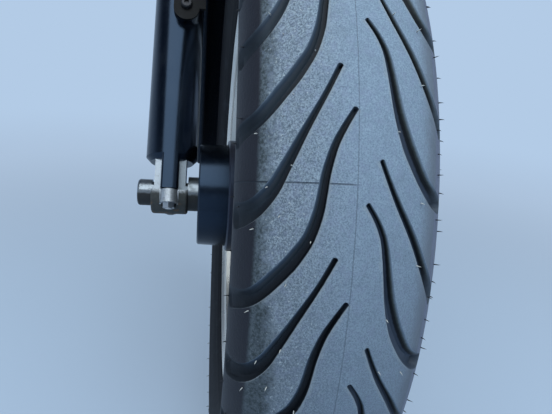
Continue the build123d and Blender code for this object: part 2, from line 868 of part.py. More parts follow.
for name, maker in wheel_nodes.items():
    keep(name, gathered(maker()), wheel=True)
for name, maker in fork_nodes.items():
    keep(name, gathered(maker()))
for name, maker in paired_nodes.items():
    for side, word in ((1, "left"), (-1, "right")):
        keep(f"{name}_{word}", gathered(maker(side)))
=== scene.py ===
# Front end of a cruiser motorcycle, seen close to the tread of its front wheel.
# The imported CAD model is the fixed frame. The camera, floor and lamp are placed in metres, and the
# pieces are drawn in millimetres and degrees about the axle.
import json
from math import atan2, cos, pi, radians, sin
import bmesh
import bpy
from mathutils import Matrix, Vector
from mathutils.geometry import delaunay_2d_cdt


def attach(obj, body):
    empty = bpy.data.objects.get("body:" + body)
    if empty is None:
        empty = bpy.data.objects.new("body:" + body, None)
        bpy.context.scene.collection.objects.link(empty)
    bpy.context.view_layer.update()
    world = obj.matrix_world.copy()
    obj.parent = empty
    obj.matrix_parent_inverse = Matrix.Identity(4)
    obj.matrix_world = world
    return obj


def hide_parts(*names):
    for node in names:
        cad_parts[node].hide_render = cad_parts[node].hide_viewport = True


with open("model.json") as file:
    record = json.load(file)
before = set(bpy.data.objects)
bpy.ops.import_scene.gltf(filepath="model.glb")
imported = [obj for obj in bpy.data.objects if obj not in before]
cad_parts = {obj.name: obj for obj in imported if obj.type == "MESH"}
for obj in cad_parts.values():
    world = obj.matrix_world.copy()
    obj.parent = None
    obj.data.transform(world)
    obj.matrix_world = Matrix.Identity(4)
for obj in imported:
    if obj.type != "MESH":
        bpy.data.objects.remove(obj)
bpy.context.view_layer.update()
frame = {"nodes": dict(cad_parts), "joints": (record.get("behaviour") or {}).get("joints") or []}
nodes = frame["nodes"]
axle_point = Vector(frame["joints"][0]["pos_m"])

# Camera
# Held low in front of the wheel, a little to its right, looking down at the tread.
# It leans a few degrees to one side, as a phone in the hand does.
eye = Vector((0.85266, -0.08208, -0.27795))
yaw, pitch, roll = 0.15411, 0.3183, 0.08996
sensor_width, focal_pixels, image_width = 36, 496.45, 552


def shown(name, data):
    """A new object, linked into the scene."""
    made = bpy.data.objects.new(name, data)
    bpy.context.scene.collection.objects.link(made)
    return made


look = Vector((-cos(pitch) * cos(yaw), cos(pitch) * sin(yaw), -sin(pitch)))
level = look.cross(Vector((0, 0, 1))).normalized()
rise = level.cross(look)
across = cos(roll) * level + sin(roll) * rise
over = cos(roll) * rise - sin(roll) * level
camera = shown("camera", bpy.data.cameras.new("camera"))
camera.data.sensor_width = sensor_width
camera.data.lens = sensor_width * focal_pixels / image_width
camera.data.clip_start = 0.01
camera.matrix_world = Matrix.Translation(eye) @ Matrix((across, over, -look)).transposed().to_4x4()
bpy.context.scene.camera = camera
bpy.context.scene.view_settings.view_transform = "Standard"

# Floor and backdrop
# One pale sheet, flat under the wheel and far behind it, and a plain sky of the same tone.
# The sheet takes the wheel's shadow.
floor_drop, floor_half = 0.320, 40


class Wire:
    """One output in a material. Arithmetic on it adds Math nodes to the same material."""

    def __init__(self, tree, socket=None):
        self.tree = tree
        self.socket = socket

    def node(self, kind, settings=None, inputs=None, output=0):
        """One output of a new node, with its settings and the values or wires of its inputs."""
        made = self.tree.nodes.new(kind)
        for name, value in (settings or {}).items():
            if name == "stops":
                ramp = made.color_ramp
                for i, (position, tone) in enumerate(value):
                    stop = ramp.elements[i] if i < 2 else ramp.elements.new(position)
                    stop.position = position
                    stop.color = tone
            else:
                setattr(made, name, value)
        for name, value in (inputs or {}).items():
            if isinstance(value, Wire):
                self.tree.links.new(value.socket, made.inputs[name])
            else:
                made.inputs[name].default_value = value
        return Wire(self.tree, made.outputs[output] if made.outputs else None)

    def maths(self, operation, *others):
        """A Math node that has this output as its first value."""
        return self.node("ShaderNodeMath", {"operation": operation}, dict(enumerate((self, *others))))

    def split(self):
        """The three parts of a vector."""
        return [self.node("ShaderNodeSeparateXYZ", {}, {0: self}, axis) for axis in "XYZ"]

    def __add__(self, other):
        return self.maths("ADD", other)

    def __sub__(self, other):
        return self.maths("SUBTRACT", other)

    def __rsub__(self, other):
        return self.node("ShaderNodeMath", {"operation": "SUBTRACT"}, {0: other, 1: self})

    def __mul__(self, other):
        return self.maths("MULTIPLY", other)

    def __truediv__(self, other):
        return self.maths("DIVIDE", other)

    def __pow__(self, other):
        return self.maths("POWER", other)

    def __lt__(self, other):
        return self.maths("LESS_THAN", other)

    def __gt__(self, other):
        return self.maths("GREATER_THAN", other)

    def __abs__(self):
        return self.maths("ABSOLUTE")

    __radd__ = __add__
    __rmul__ = __mul__


def colour(red, green, blue):
    """A colour as a screen shows it, 0 to 255, in the values that a shader takes."""
    values = [c / 255 for c in (red, green, blue)]
    return [c / 12.92 if c < 0.04045 else ((c + 0.055) / 1.055) ** 2.4 for c in values] + [1]


def blank(name):
    """An empty material, and a wire to add its nodes to."""
    material = bpy.data.materials.new(name)
    material.use_nodes = True
    material.node_tree.nodes.clear()
    return material, Wire(material.node_tree)


def blended(share, first, second):
    """One colour turning into another as share goes from 0 to 1."""
    return share.node("ShaderNodeMix", {"data_type": "RGBA"}, {0: share, 6: first, 7: second}, 2)


def eased(wire, low, high, start=0.0, end=1.0):
    """A smooth step from start to end as the wire goes from low to high."""
    return wire.node("ShaderNodeMapRange", {"interpolation_type": "SMOOTHSTEP"},
                     {"Value": wire, 1: low, 2: high, 3: start, 4: end})


def looked_at(wire):
    """1 for what is seen, straight, mirrored or through glass, and 0 for light that falls on things."""
    rays = ("Is Camera Ray", "Is Glossy Ray", "Is Transmission Ray")
    camera_ray, glossy_ray, glass_ray = [wire.node("ShaderNodeLightPath", output=ray) for ray in rays]
    return camera_ray.maths("MAXIMUM", glossy_ray.maths("MAXIMUM", glass_ray))


def meshed(name, points, faces):
    """A new mesh from points in metres."""
    mesh = bpy.data.meshes.new(name)
    mesh.from_pydata(points, [], faces)
    return mesh


floor_z = axle_point.z - floor_drop
corners = [(x * floor_half, y * floor_half, floor_z) for x, y in ((-1, -1), (1, -1), (1, 1), (-1, 1))]
floor = shown("floor", meshed("floor", corners, [(0, 1, 2, 3)]))
near_tone, far_tone = colour(166, 186, 210), colour(179, 203, 230)
paving, wire = blank("pale_floor")
spot = wire.node("ShaderNodeTexCoord", output="Object")
away = wire.node("ShaderNodeVectorMath", {"operation": "DISTANCE"}, {0: spot, 1: axle_point}, "Value")
lit = wire.node("ShaderNodeBsdfPrincipled", {}, {"Base Color": colour(186, 207, 232), "Roughness": 0.9})
haze = wire.node("ShaderNodeEmission", {}, {"Color": blended(eased(away, 0.5, 3.0), near_tone, far_tone)})
share = eased(away, 0.45, 1.7, 0.3, 1.0) * looked_at(wire)
surface = wire.node("ShaderNodeMixShader", {}, {0: share, 1: lit, 2: haze})
wire.node("ShaderNodeOutputMaterial", {}, {"Surface": surface})
floor.data.materials.append(paving)

world = bpy.context.scene.world or bpy.data.worlds.new("sky")
bpy.context.scene.world = world
world.use_nodes = True
world.node_tree.nodes.clear()
sky = Wire(world.node_tree)
height = sky.node("ShaderNodeTexCoord", output="Generated").split()[2]
backdrop = blended(eased(height, 0.20, 0.50), far_tone, colour(66, 82, 104))
pale = sky.node("ShaderNodeBackground", {}, {"Color": backdrop, "Strength": 1.0})
soft = sky.node("ShaderNodeBackground", {}, {"Color": (0.86, 0.95, 1.0, 1), "Strength": 0.36})
mixed = sky.node("ShaderNodeMixShader", {}, {0: looked_at(sky), 1: soft, 2: pale})
sky.node("ShaderNodeOutputWorld", {}, {"Surface": mixed})

# Lamp
# One broad soft panel high in front of the wheel, as open sky over a yard gives.
panel_wide, panel_deep, panel_away = 3.0, 1.9, 2.0
panel_rise, panel_turn = radians(61), radians(-5)
panel = shown("panel", bpy.data.lights.new("panel", "AREA"))
panel.data.shape = "RECTANGLE"
panel.data.size, panel.data.size_y = panel_wide, panel_deep
panel.data.energy = 52
panel.data.color = (0.84, 0.94, 1.0)
toward = Vector((cos(panel_rise) * cos(panel_turn), cos(panel_rise) * sin(panel_turn), sin(panel_rise)))
aim = toward.to_track_quat("Z", "Y").to_matrix().to_4x4()
panel.matrix_world = Matrix.Translation(axle_point + panel_away * toward) @ aim

# Tyre
# A moulded rubber casing of 640 by 128 mm, its tread worn dull and dusty, its shoulders still smooth. Light
# and shade are also painted into its colours.
# Nineteen like blocks go round it, and each has two curved grooves on each side of the centre.
crown_radius, shoulder_radius, tyre_radius = 90.8, 34.4, 319.8
crown_turn = radians(31.6)
crown_run = crown_radius * crown_turn
full_run = crown_run + shoulder_radius * (pi / 2 - crown_turn)
wide_pitch, wide_blocks, block_count = 19.35, 5, 19
narrow_pitch = (360 - wide_pitch * wide_blocks) / (block_count - wide_blocks)
first_border, border_at_centre = 70.4, 31.7
degree = radians(1) * tyre_radius
# s runs across the tread from its centre. Left and right are the camera's here, and right is positive.
# a block's upper border on each side: place across, angle
border_left = (
    (0, 31.7), (8, 29.0), (13, 27.1), (17, 24.5), (19, 22.2), (21, 20.3), (25, 18.0), (31, 16.2),
    (38, 14.5), (57, 10.9), (79, 9.3), (90, 9.1),
)
border_right = (
    (0, 31.7), (6.5, 31.7), (12.5, 30.1), (17, 28.4), (21, 25.0), (25, 21.6), (29, 19.5), (34, 17.6),
    (44, 15.0), (55, 13.2), (63, 12.5), (90, 12.2),
)
# each groove: angle, place across, half width
grooves = (
    ((26.4, -1.8, 1.6), (24.5, -8, 1.9), (22.6, -13, 2.2), (20, -17, 2.6), (17.8, -18.8, 2.8),
     (15.8, -20.8, 3.1), (13.5, -25, 3.5), (11.8, -30.6, 4.1), (9.9, -38.4, 4.5), (6.4, -57, 5.0),
     (4.8, -79, 6.6)),
    ((11.55, -10, 1.6), (8.5, -18.3, 1.7), (5, -28.7, 2.3), (1.2, -39.5, 3.4), (-1.1, -46.5, 4.4),
     (-3, -56, 5.6), (-4, -66, 6.8), (-4.4, -76, 8.0)),
    ((17, 6.5, 1.5), (15.4, 12.4, 1.8), (13.7, 16.9, 2.2), (12, 19.2, 2.6), (10.2, 21.1, 2.9),
     (8.5, 22.9, 3.3), (6.7, 25.3, 3.8), (4.8, 29, 4.4), (3, 33.7, 4.75), (0.3, 43.7, 4.7),
     (-1.5, 55, 5.4), (-2.2, 63, 4.8)),
    ((21.35, 13.8, 1.5), (19.3, 19, 1.7), (17, 25.8, 2.1), (13.6, 37.7, 2.7), (9.8, 50.4, 3.4),
     (6.3, 63.5, 4.6)),
)
groove_step, end_points, end_length, levels = 4.0, 5, 0.8, 4
depth_most, depth_least, depth_per_width = 5.5, 2.0, 1.1
shallow_end, shallow_run, shallow_least = 84, 16, 0.3
worn_most, worn_per_width = 1.6, 0.45


def section(s):
    """The turn of the surface from level, its place across and its radius, at s from the centre."""
    run = abs(s)
    if run <= crown_run:
        turn = run / crown_radius
        return turn, crown_radius * sin(turn), tyre_radius - crown_radius * (1 - cos(turn))
    turn = crown_turn + (run - crown_run) / shoulder_radius
    inset = crown_radius - shoulder_radius
    return (turn, inset * sin(crown_turn) + shoulder_radius * sin(turn),
            tyre_radius - crown_radius + inset * cos(crown_turn) + shoulder_radius * cos(turn))


def on_wheel(angle, y, radius):
    """A point of the part's frame, in metres, from an angle in radians and lengths about the axle."""
    return axle_point + Vector((radius * cos(angle), y, radius * sin(angle))) / 1000


def on_tread(angle, s, depth=0.0):
    """A point of the part's frame, in metres, from a place on the tread and a depth below it."""
    turn, y, radius = section(s)
    y = (y - depth * sin(turn)) * (1 if s >= 0 else -1)
    return on_wheel(radians(angle), y, radius - depth * cos(turn))


def border(s):
    """The angle of a block's upper border."""
    run, points = abs(s), border_right if s >= 0 else border_left
    for (a, b), (c, d) in zip(points, points[1:]):
        if run <= c:
            return b + (d - b) * (run - a) / (c - a)


def smoothed(points, step):
    """A smooth run through the points, with a point about every step."""
    knots = [Vector((a * degree, s, w)) for a, s, w in points]
    ends = [2 * knots[0] - knots[1], *knots, 2 * knots[-1] - knots[-2]]
    run = []
    for a, b, c, d in zip(ends, ends[1:], ends[2:], ends[3:]):
        count = max(1, round((c - b).length / step))
        for i in range(count):
            t = i / count
            run.append((2 * b + (c - a) * t + (2 * a - 5 * b + 4 * c - d) * t ** 2
                        + (3 * b - a - 3 * c + d) * t ** 3) / 2)
    return run + [knots[-1]]


def walls(half, s):
    """A groove's two walls from lip to floor, each level as (width, depth, share).

    Rolling has worn the first one round, while the second is still sharp and steep.
    The share is 0 at the sharp lip, 0.3 to 0.5 on the floor and 1 at the worn lip.
    """
    deep = min(depth_most, depth_least + depth_per_width * half)
    deep *= min(1, max(shallow_least, (shallow_end - abs(s)) / shallow_run))
    worn_edge = min(worn_most, worn_per_width * half)
    worn_wall = ((half + 0.4 * worn_edge, 0, 1.0), (half - 0.6 * worn_edge, 0.22 * deep, 0.85),
                 (0.42 * half, 0.85 * deep, 0.62), (0.22 * half, deep, 0.5))
    sharp_wall = ((half, 0, 0.0), (half - 0.35, 0.3, 0.04), (0.86 * half - 0.1, 0.8 * deep, 0.2),
                  (0.66 * half, deep, 0.3))
    return worn_wall, sharp_wall


def beside(here, way, out, on):
    """A place in the flat drawing, out from a groove's middle line and on along it."""
    shrink = section(here.y)[2] / tyre_radius
    return here.x + (way.x * on - way.y * out) / shrink, here.y + way.x * out + way.y * on


def groove_rings(run):
    """Rings from a groove's lip to its floor, each point as (place round, place across, depth, share)."""
    rings = []
    for level in range(levels):
        sides, ends = ([], []), ([], [])
        for i, here in enumerate(run):
            before, after = run[max(i - 1, 0)], run[min(i + 1, len(run) - 1)]
            shrink = section(here.y)[2] / tyre_radius
            way = Vector(((after.x - before.x) * shrink, after.y - before.y)).normalized()
            both = [wall[level] for wall in walls(here.z, here.y)]
            # the wall that points up in front is the worn one
            if way.y >= 0:
                both.reverse()
            for side, points, (width, depth, share) in zip((1, -1), sides, both):
                points.append((*beside(here, way, side * width, 0), depth, share))
            if i in (0, len(run) - 1):
                ahead = 1 if i else -1
                for step in range(1, end_points + 1):
                    turn = step * pi / (end_points + 1)
                    mix = (1 + ahead * cos(turn)) / 2
                    width, depth, share = [p * mix + q * (1 - mix) for p, q in zip(*both)]
                    out, on = ahead * cos(turn) * width, ahead * end_length * sin(turn) * width
                    ends[1 if i else 0].append((*beside(here, way, out, on), depth, share))
        rings.append(sides[0] + ends[1] + sides[1][::-1] + ends[0])
    return rings


def floor_faces(size):
    """Faces over a groove's floor, between its long sides and in its two round ends."""
    long = size // 2 - end_points
    last = 2 * long + end_points - 1
    faces = [(i, i + 1, last - 1 - i, last - i) for i in range(long - 1)]
    return faces + [tuple(range(long - 1, long + end_points + 1)), (*range(last, size), 0)]


def bridged(low, high, size):
    """Four-sided faces between two closed rings of points, from the numbers of their first points."""
    pairs = [(i, (i + 1) % size) for i in range(size)]
    return [(low + i, low + j, high + j, high + i) for i, j in pairs]


# one wide block in a flat drawing: its outline, the grooves' lips and points between them
border_steps, block_steps = 17, 12
fill_step, row_share, fill_to_border, fill_to_side, fill_to_groove = 4.6, 0.866, 3.0, 2.4, 2.3
runs = [smoothed(points, groove_step) for points in grooves]
stations = [station for run in runs for station in run]
rings_of = [groove_rings(run) for run in runs]
across_steps = [full_run * i / border_steps for i in range(-border_steps, border_steps + 1)]
down_steps = [wide_pitch * i / block_steps for i in range(1, block_steps)]
outline = [(border(s), s) for s in across_steps]
outline += [(border(full_run) - down, full_run) for down in down_steps]
outline += [(border(s) - wide_pitch, s) for s in reversed(across_steps)]
outline += [(border(-full_run) - down, -full_run) for down in reversed(down_steps)]
flat_points = [Vector((angle * degree, s)) for angle, s in outline]
flat_faces = [list(range(len(outline)))]
lip_shares = [0.0] * len(outline)
for rings in rings_of:
    first = len(flat_points)
    flat_points += [Vector(spot[:2]) for spot in rings[0]]
    flat_faces.append(list(reversed(range(first, len(flat_points)))))
    lip_shares += [max(0.0, 1 - 3 * spot[3]) for spot in rings[0]]
row_count = int(full_run / (fill_step * row_share))
for row in range(-row_count, row_count + 1):
    s = row * fill_step * row_share
    if full_run - abs(s) < fill_to_side:
        continue
    x = (border(s) - wide_pitch) * degree + fill_to_border + (row % 2) * fill_step / 2
    while x < border(s) * degree - fill_to_border:
        if all((x - p.x) ** 2 + (s - p.y) ** 2 > (p.z + fill_to_groove) ** 2 for p in stations):
            flat_points.append(Vector((x, s)))
            lip_shares.append(0.0)
        x += fill_step
flat, _, tiles, sources = delaunay_2d_cdt(flat_points, [], flat_faces, 2, 1e-4)[:4]
flat_lips = [max([lip_shares[i] for i in source], default=0.0) for source in sources]

# each block: the angle that its drawing starts from, how far it is stretched, its pitch
blocks = []
start = first_border - border_at_centre
for number in range(block_count):
    pitch = wide_pitch if number < wide_blocks else narrow_pitch
    blocks.append((start, pitch / wide_pitch, pitch))
    start -= pitch


def laid(block, x, s, depth=0.0):
    """A place in the flat drawing, put on the tyre at one of its blocks."""
    start, stretch, _ = block
    edge = border(s)
    return on_tread(start + edge + (x / degree - edge) * stretch, s, depth)


# edge_shares: on the tread 1 at a groove's sharp lip, and in a groove the place between its two lips
tyre_points, tyre_faces, tyre_looks, edge_shares = [], [], [], []
for block in blocks:
    base = len(tyre_points)
    tyre_points += [laid(block, p.x, p.y) for p in flat]
    edge_shares += flat_lips
    tyre_faces += [[base + i for i in tile] for tile in tiles]
    tyre_looks += [0] * len(tiles)
    for rings in rings_of:
        base, size = len(tyre_points), len(rings[0])
        for ring in rings:
            tyre_points += [laid(block, *spot[:3]) for spot in ring]
            edge_shares += [spot[3] for spot in ring]
        for level in range(levels - 1):
            tyre_faces += bridged(base + level * size, base + (level + 1) * size, size)
        deepest = base + (levels - 1) * size
        tyre_faces += [[deepest + i for i in face] for face in floor_faces(size)]
    tyre_looks += [1] * (len(tyre_faces) - len(tyre_looks))

# the sidewall from its widest point inward, with its raised rings: place across, radius
wall_curve, wall_angle, wall_steps, wall_sunk = 60, radians(40), 24, 0.3
raised_rings = {5: 0.5, 6: 0.5, 7: 0.5, 14: 0.25, 16: 0.25, 18: 0.25, 20: 0.5, 21: 0.5}
wide_y, wide_radius = section(full_run)[1:]
wall = [(wide_y, wide_radius)]
for i in range(1, wall_steps + 1):
    turn = wall_angle * i / wall_steps
    y = wide_y - wall_curve * (1 - cos(turn)) + raised_rings.get(i, 0) - wall_sunk
    wall.append((y, wide_radius - wall_curve * sin(turn)))
# the bead in the rim, then the inside of the casing
wall += [(46.5, 236.9), (42, 234.9), (37.95, 234.2), (37.95, 218.45)]
wall += [(23.95, 218.45), (28.9, 234), (40, 244), (54.9, 277.2), (50, 293), (38.6, 301), (20, 305), (0, 307)]
round_count = block_steps * block_count
for side in (-1, 1):
    base = len(tyre_points)
    for y, radius in wall:
        for start, _, pitch in blocks:
            angles = [start + border(side * full_run) - pitch * i / block_steps for i in range(block_steps)]
            tyre_points += [on_wheel(radians(angle), side * y, radius) for angle in angles]
    for row in range(len(wall) - 1):
        tyre_faces += bridged(base + row * round_count, base + (row + 1) * round_count, round_count)
edge_shares += [0.0] * (len(tyre_points) - len(edge_shares))
tyre_looks += [2] * (len(tyre_faces) - len(tyre_looks))


def turned_out(mesh, gap=0.0):
    """Joins the points that lie closer than the gap, and turns every face outward."""
    work = bmesh.new()
    work.from_mesh(mesh)
    if gap:
        bmesh.ops.remove_doubles(work, verts=work.verts, dist=gap)
    bmesh.ops.recalc_face_normals(work, faces=work.faces)
    work.to_mesh(mesh)
    work.free()


tyre_mesh = meshed("tyre_rubber", tyre_points, tyre_faces)
tyre_mesh.polygons.foreach_set("material_index", tyre_looks)
tyre_mesh.polygons.foreach_set("use_smooth", [True] * len(tyre_faces))
edge_layer = tyre_mesh.attributes.new("edge_share", "FLOAT", "CORNER")
edge_layer.data.foreach_set("value", [edge_shares[i] for face in tyre_faces for i in face])
turned_out(tyre_mesh, 2e-5)
tyre_mesh.set_sharp_from_angle(angle=radians(38))
tyre = shown("tyre_rubber", tyre_mesh)


def begun(name, lean=0.0):
    """A new material, and the spot on the piece from the middle of the axle, turned by the fork's lean."""
    material, wire = blank(name)
    spot = wire.node("ShaderNodeTexCoord", output="Object")
    origin = {"Location": axle_point, "Rotation": (0, -lean, 0), "Scale": (0.001, 0.001, 0.001)}
    return material, wire.node("ShaderNodeMapping", {"vector_type": "TEXTURE"}, {"Vector": spot, **origin})


def covered(wire, **inputs):
    """The closing surface of a material."""
    inputs = {name.replace("_", " "): value for name, value in inputs.items()}
    shader = wire.node("ShaderNodeBsdfPrincipled", {}, inputs)
    wire.node("ShaderNodeOutputMaterial", {}, {"Surface": shader})


def speckle(place, scale, detail=2.0, rough=0.5):
    """Uneven spots, about 1 / scale millimetres apart."""
    inputs = {"Vector": place, "Scale": scale, "Detail": detail, "Roughness": rough}
    return place.node("ShaderNodeTexNoise", {}, inputs)


def joined(x, y, z):
    """A vector from a wire and two more wires or numbers."""
    return x.node("ShaderNodeCombineXYZ", {}, {0: x, 1: y, 2: z})


def raised(height, millimetres, strength=1.0):
    """A bump as deep as the given length where height goes from 0 to 1."""
    inputs = {"Height": height, "Distance": millimetres / 1000, "Strength": strength}
    return height.node("ShaderNodeBump", {}, inputs)


def around(place):
    """Place around the axle in degrees, radius and place across."""
    x, y, z = place.split()
    return z.maths("ARCTAN2", x) * (180 / pi), (x * x + z * z) ** 0.5, y


def ramped(wire, stops):
    """A colour that follows the stops as the wire goes from 0 to 1."""
    return wire.node("ShaderNodeValToRGB", {"stops": stops}, {"Fac": wire})


mould_angle, mould_segments = 19.05, 7
mould_step = 360 / mould_segments
tread, place = begun("dusty_tread_painted_light")
turned, _, y = around(place)
edge = place.node("ShaderNodeAttribute", {"attribute_name": "edge_share"}, output="Fac")
grain = speckle(place, 1.05, 2, 0.7)
blotch = speckle(place, 0.09, 3, 0.6)
mottle = speckle(place, 0.2, 2, 0.6)
left = eased(y * -1.0, -8.0, 46.0)
right = eased(y, -2.0, 12.0)
coarse = eased(speckle(place, 0.5, 2, 0.7), 0.42, 0.68)
# the left half is darker overall: partly painted shade, partly its coarser dust with pale flecks
low_tone = blended(left, colour(107, 126, 146), colour(80, 94, 110))
high_tone = blended(left, colour(138, 158, 177), colour(152, 167, 180))
dust = blended(eased(grain, 0.30, 0.70), low_tone, high_tone)
dust = blended(left * coarse * 0.5, dust, colour(52, 62, 76))
dust = blended(eased(blotch, 0.42, 0.72, 0, 0.25), dust, colour(98, 113, 130))
dust = blended(eased(mottle, 0.45, 0.65, 0, 0.25), dust, colour(124, 134, 162))
# painted shade: darker round the tread's lower front
dust = blended(eased(abs(turned + 40.0), 25.0, 72.0, 0.36, 0.0), dust, colour(84, 90, 96))
dust = blended(eased(speckle(place, 0.62, 1), 0.69, 0.74) * left * 0.8, dust, colour(170, 180, 186))
# a pale line along each groove's sharp lip is a painted highlight
dust = blended(eased(edge + grain * 0.5, 0.75, 1.15) * 0.5, dust, colour(136, 146, 154))
# towards the shoulders the dust thins, and past the mould's edge the rubber is smooth
scuff = abs(y) + (speckle(place, 0.12, 3, 0.7) - 0.5) * 16.0 + (grain - 0.5) * 9.0
# painted shade: low on the left the dust gives way to bare rubber sooner
low_left_shade = left * eased(turned, -4.0, 12.0, 1.0, 0.0) * 9.0
fade = eased(scuff + low_left_shade, 42.0, 52.0) * (1.0 - right * 0.65)
streak = speckle(joined(turned * 0.5, y * 1.9, 0.0), 1.0, 3, 0.6)
# the smooth shoulder rubber, with painted light: the right shoulder is a much lighter copy of the left's
# rubber
fresh_left = blended(streak, colour(15, 17, 26), colour(31, 33, 45))
fresh_right_painted_lit = blended(streak, colour(76, 84, 102), colour(118, 126, 148))
streaked = blended(streak, colour(78, 88, 100), colour(116, 124, 138))
moulded = eased(abs(y) + (grain - 0.5) * 2.4, 51.4, 53.8)
bare = blended(fade * (0.7 + coarse * 0.3), dust, colour(45, 55, 60))
bare = blended(right * eased(y + (streak - 0.5) * 14.0, 38.0, 52.0, 0.0, 0.75), bare, streaked)
rubber = blended(moulded, bare, blended(right, fresh_left, fresh_right_painted_lit))
# dark lines: the seam round the middle, and the shadow under each flash
# 20 keeps the place positive, and a half puts each mould line in the middle of its step
mould_place = ((turned - mould_angle) / mould_step + 20.5).maths("FRACT")
from_mould = (mould_place - 0.5) * mould_step
under_mould = (from_mould < 0.0) * (from_mould > -0.17) * eased(y, -4.0, 3.0, 0.6, 0.0)
seam = eased(abs(y), 0.2, 0.5, 0.35, 0.0)
tone = blended(seam.maths("MAXIMUM", under_mould), rubber, colour(36, 42, 52))
relief = grain * 0.5 + coarse * 0.3 + streak * moulded * 0.4
covered(place, Base_Color=tone, Roughness=0.72 - moulded * 0.2 + grain * 0.1,
        Normal=raised(relief, 0.35, 0.6), Specular_IOR_Level=0.35)

groove_rubber, place = begun("groove_rubber")
turned, _, y = around(place)
edge = place.node("ShaderNodeAttribute", {"attribute_name": "edge_share"}, output="Fac")
grain = speckle(place, 0.5, 2)
across_groove = edge + (grain - 0.5) * 0.05
on_right = eased(y, -6.0, 6.0)
# Across each groove the ramps paint shade: dark bands on the steep wall and the floor beside it where shade
# falls, a painted highlight along the sharp lip, and the worn lip fading up to the tread's dust. The two
# halves have their dark bands in different places, as the light falls.
left_wall = ramped(across_groove, (
    (0.0, colour(128, 136, 142)), (0.035, colour(84, 94, 104)), (0.05, colour(12, 17, 24)),
    (0.36, colour(13, 18, 26)), (0.46, colour(22, 30, 40)), (0.53, colour(44, 54, 64)),
    (0.66, colour(56, 65, 74)), (0.78, colour(60, 67, 77)), (0.85, colour(46, 60, 76)),
    (0.95, colour(62, 76, 92)), (1.0, colour(100, 116, 134)),
))
right_wall = ramped(across_groove, (
    (0.0, colour(104, 116, 130)), (0.05, colour(64, 75, 92)), (0.64, colour(66, 77, 94)),
    (0.70, colour(11, 17, 24)), (0.79, colour(9, 14, 19)), (0.87, colour(52, 60, 62)),
    (1.0, colour(112, 130, 150)),
))
# towards the shoulders the grooves turn dark on the left and lighter on the right: painted shade and light
left_end = blended(grain, colour(19, 25, 32), colour(29, 36, 45))
right_end = blended(grain, colour(50, 60, 70), colour(74, 84, 98))
shade = blended(on_right, left_wall, right_wall)
shade = blended(eased(abs(y), 47.0, 57.0, 0.0, 0.85), shade, blended(on_right, left_end, right_end))
lines = speckle(joined(turned * 2.0, y * 0.9, 0.0), 1.0, 2)
covered(place, Base_Color=shade, Roughness=0.58, Normal=raised(lines, 0.25, 0.5), Specular_IOR_Level=0.25)

side_rubber, place = begun("side_rubber")
turned, radius, _ = around(place)
cloud = speckle(place, 0.05, 4, 0.6)
grain = speckle(place, 0.6, 3)
rings = speckle(joined(radius * 1.4, 0.0, turned * 0.06), 1.0, 2)
shade = blended(grain, colour(13, 14, 19), colour(23, 24, 31))
shade = blended(eased(cloud, 0.5, 0.75, 0, 0.25), shade, colour(70, 76, 84))
covered(place, Base_Color=shade, Roughness=0.56 + cloud * 0.2,
        Normal=raised(grain * 0.5 + rings * 0.5, 0.2, 0.6), Specular_IOR_Level=0.25)
for material in (tread, groove_rubber, side_rubber):
    tyre_mesh.materials.append(material)
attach(tyre, "wheel")
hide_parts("tyre")

# Mould flash and vent hairs
# Thin ridges where the mould's seven segments met, and the rubber whiskers from its vent holes.
# The flash stops at every groove, and to the camera's right the road has worn it off.
flash_half_width, flash_height, flash_root, flash_end, flash_steps = 0.45, 0.4, 0.15, 3.0, 48
flash_fade, flash_least, flash_clear = 25, 0.1, 0.3
hair_length, hair_radius, hair_sides = 3.6, 0.42, 5
hair_levels, hair_least, hair_skip = (1.0, 0.8, 0.45), 12, 0.93
# each row: place across, angles in one block
hair_rows = (
    (-84, (-2.1, 4.6, 10.5)), (-72, (-3.2, 7.0)), (-58, (-5.4, 4.8)), (-50, (-0.9, )), (-36, (1.3, 8.6)),
    (-42, (-3.8, )), (-24, (13.2, )), (24, (5.2, 18.4)), (42, (-1.9, 10.8)), (60, (1.4, 3.8, -3.7, 6.6)),
    (66, (10.3, 8.2, -0.6)), (72, (5.9, -5.2)), (82, (2.6, -4.8)),
)


def in_groove(angle, s):
    """Whether a spot on the tread lies in a groove, worked out in the block's flat drawing."""
    for start, stretch, _ in blocks:
        for turn in (-360, 0, 360):
            back = (start + border(s) - angle - turn) / stretch
            if 0 <= back < wide_pitch:
                x = (border(s) - back) * degree
                shrink = section(s)[2] / tyre_radius
                return any(((x - p.x) * shrink) ** 2 + (s - p.y) ** 2 < (p.z + flash_clear) ** 2
                           for p in stations)
    return False


def ringed(middle, side, other, wide, high, count):
    """Points round an oval, from its middle, its two directions and its half width and half height."""
    turns = [2 * pi * i / count for i in range(count)]
    return [middle + (side * (wide * cos(a)) + other * (high * sin(a))) / 1000 for a in turns]


def piece(name, points, faces, body, node_names, material, smooth=True):
    """A new piece of the model: its mesh, its finish, the body that it rides on and what it stands for."""
    mesh = meshed(name, points, faces)
    mesh.materials.append(material)
    turned_out(mesh)
    mesh.polygons.foreach_set("use_smooth", [smooth] * len(mesh.polygons))
    made = shown(name, mesh)
    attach(made, body)
    if node_names:
        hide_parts(*node_names)
    return made


flash_points, flash_faces = [], []
for line in range(mould_segments):
    angle = (mould_angle + line * mould_step + 180) % 360 - 180
    half = flash_half_width / degree
    started = False
    for i in range(-flash_steps, flash_steps + 1):
        s = full_run * i / flash_steps
        if in_groove(angle, s) or s > flash_end:
            started = False
            continue
        ridge = flash_height * min(1, max(flash_least, (flash_end - s) / flash_fade))
        base = len(flash_points)
        flash_points += [on_tread(angle + half, s, flash_root), on_tread(angle + half * 0.2, s, -ridge),
                         on_tread(angle - half, s, flash_root)]
        if started:
            flash_faces += [(base - 3, base, base + 1, base - 2), (base - 2, base + 1, base + 2, base - 1),
                            (base - 1, base + 2, base, base - 3)]
        started = True
piece("mould_flash", flash_points, flash_faces, "wheel", (), tread, False)

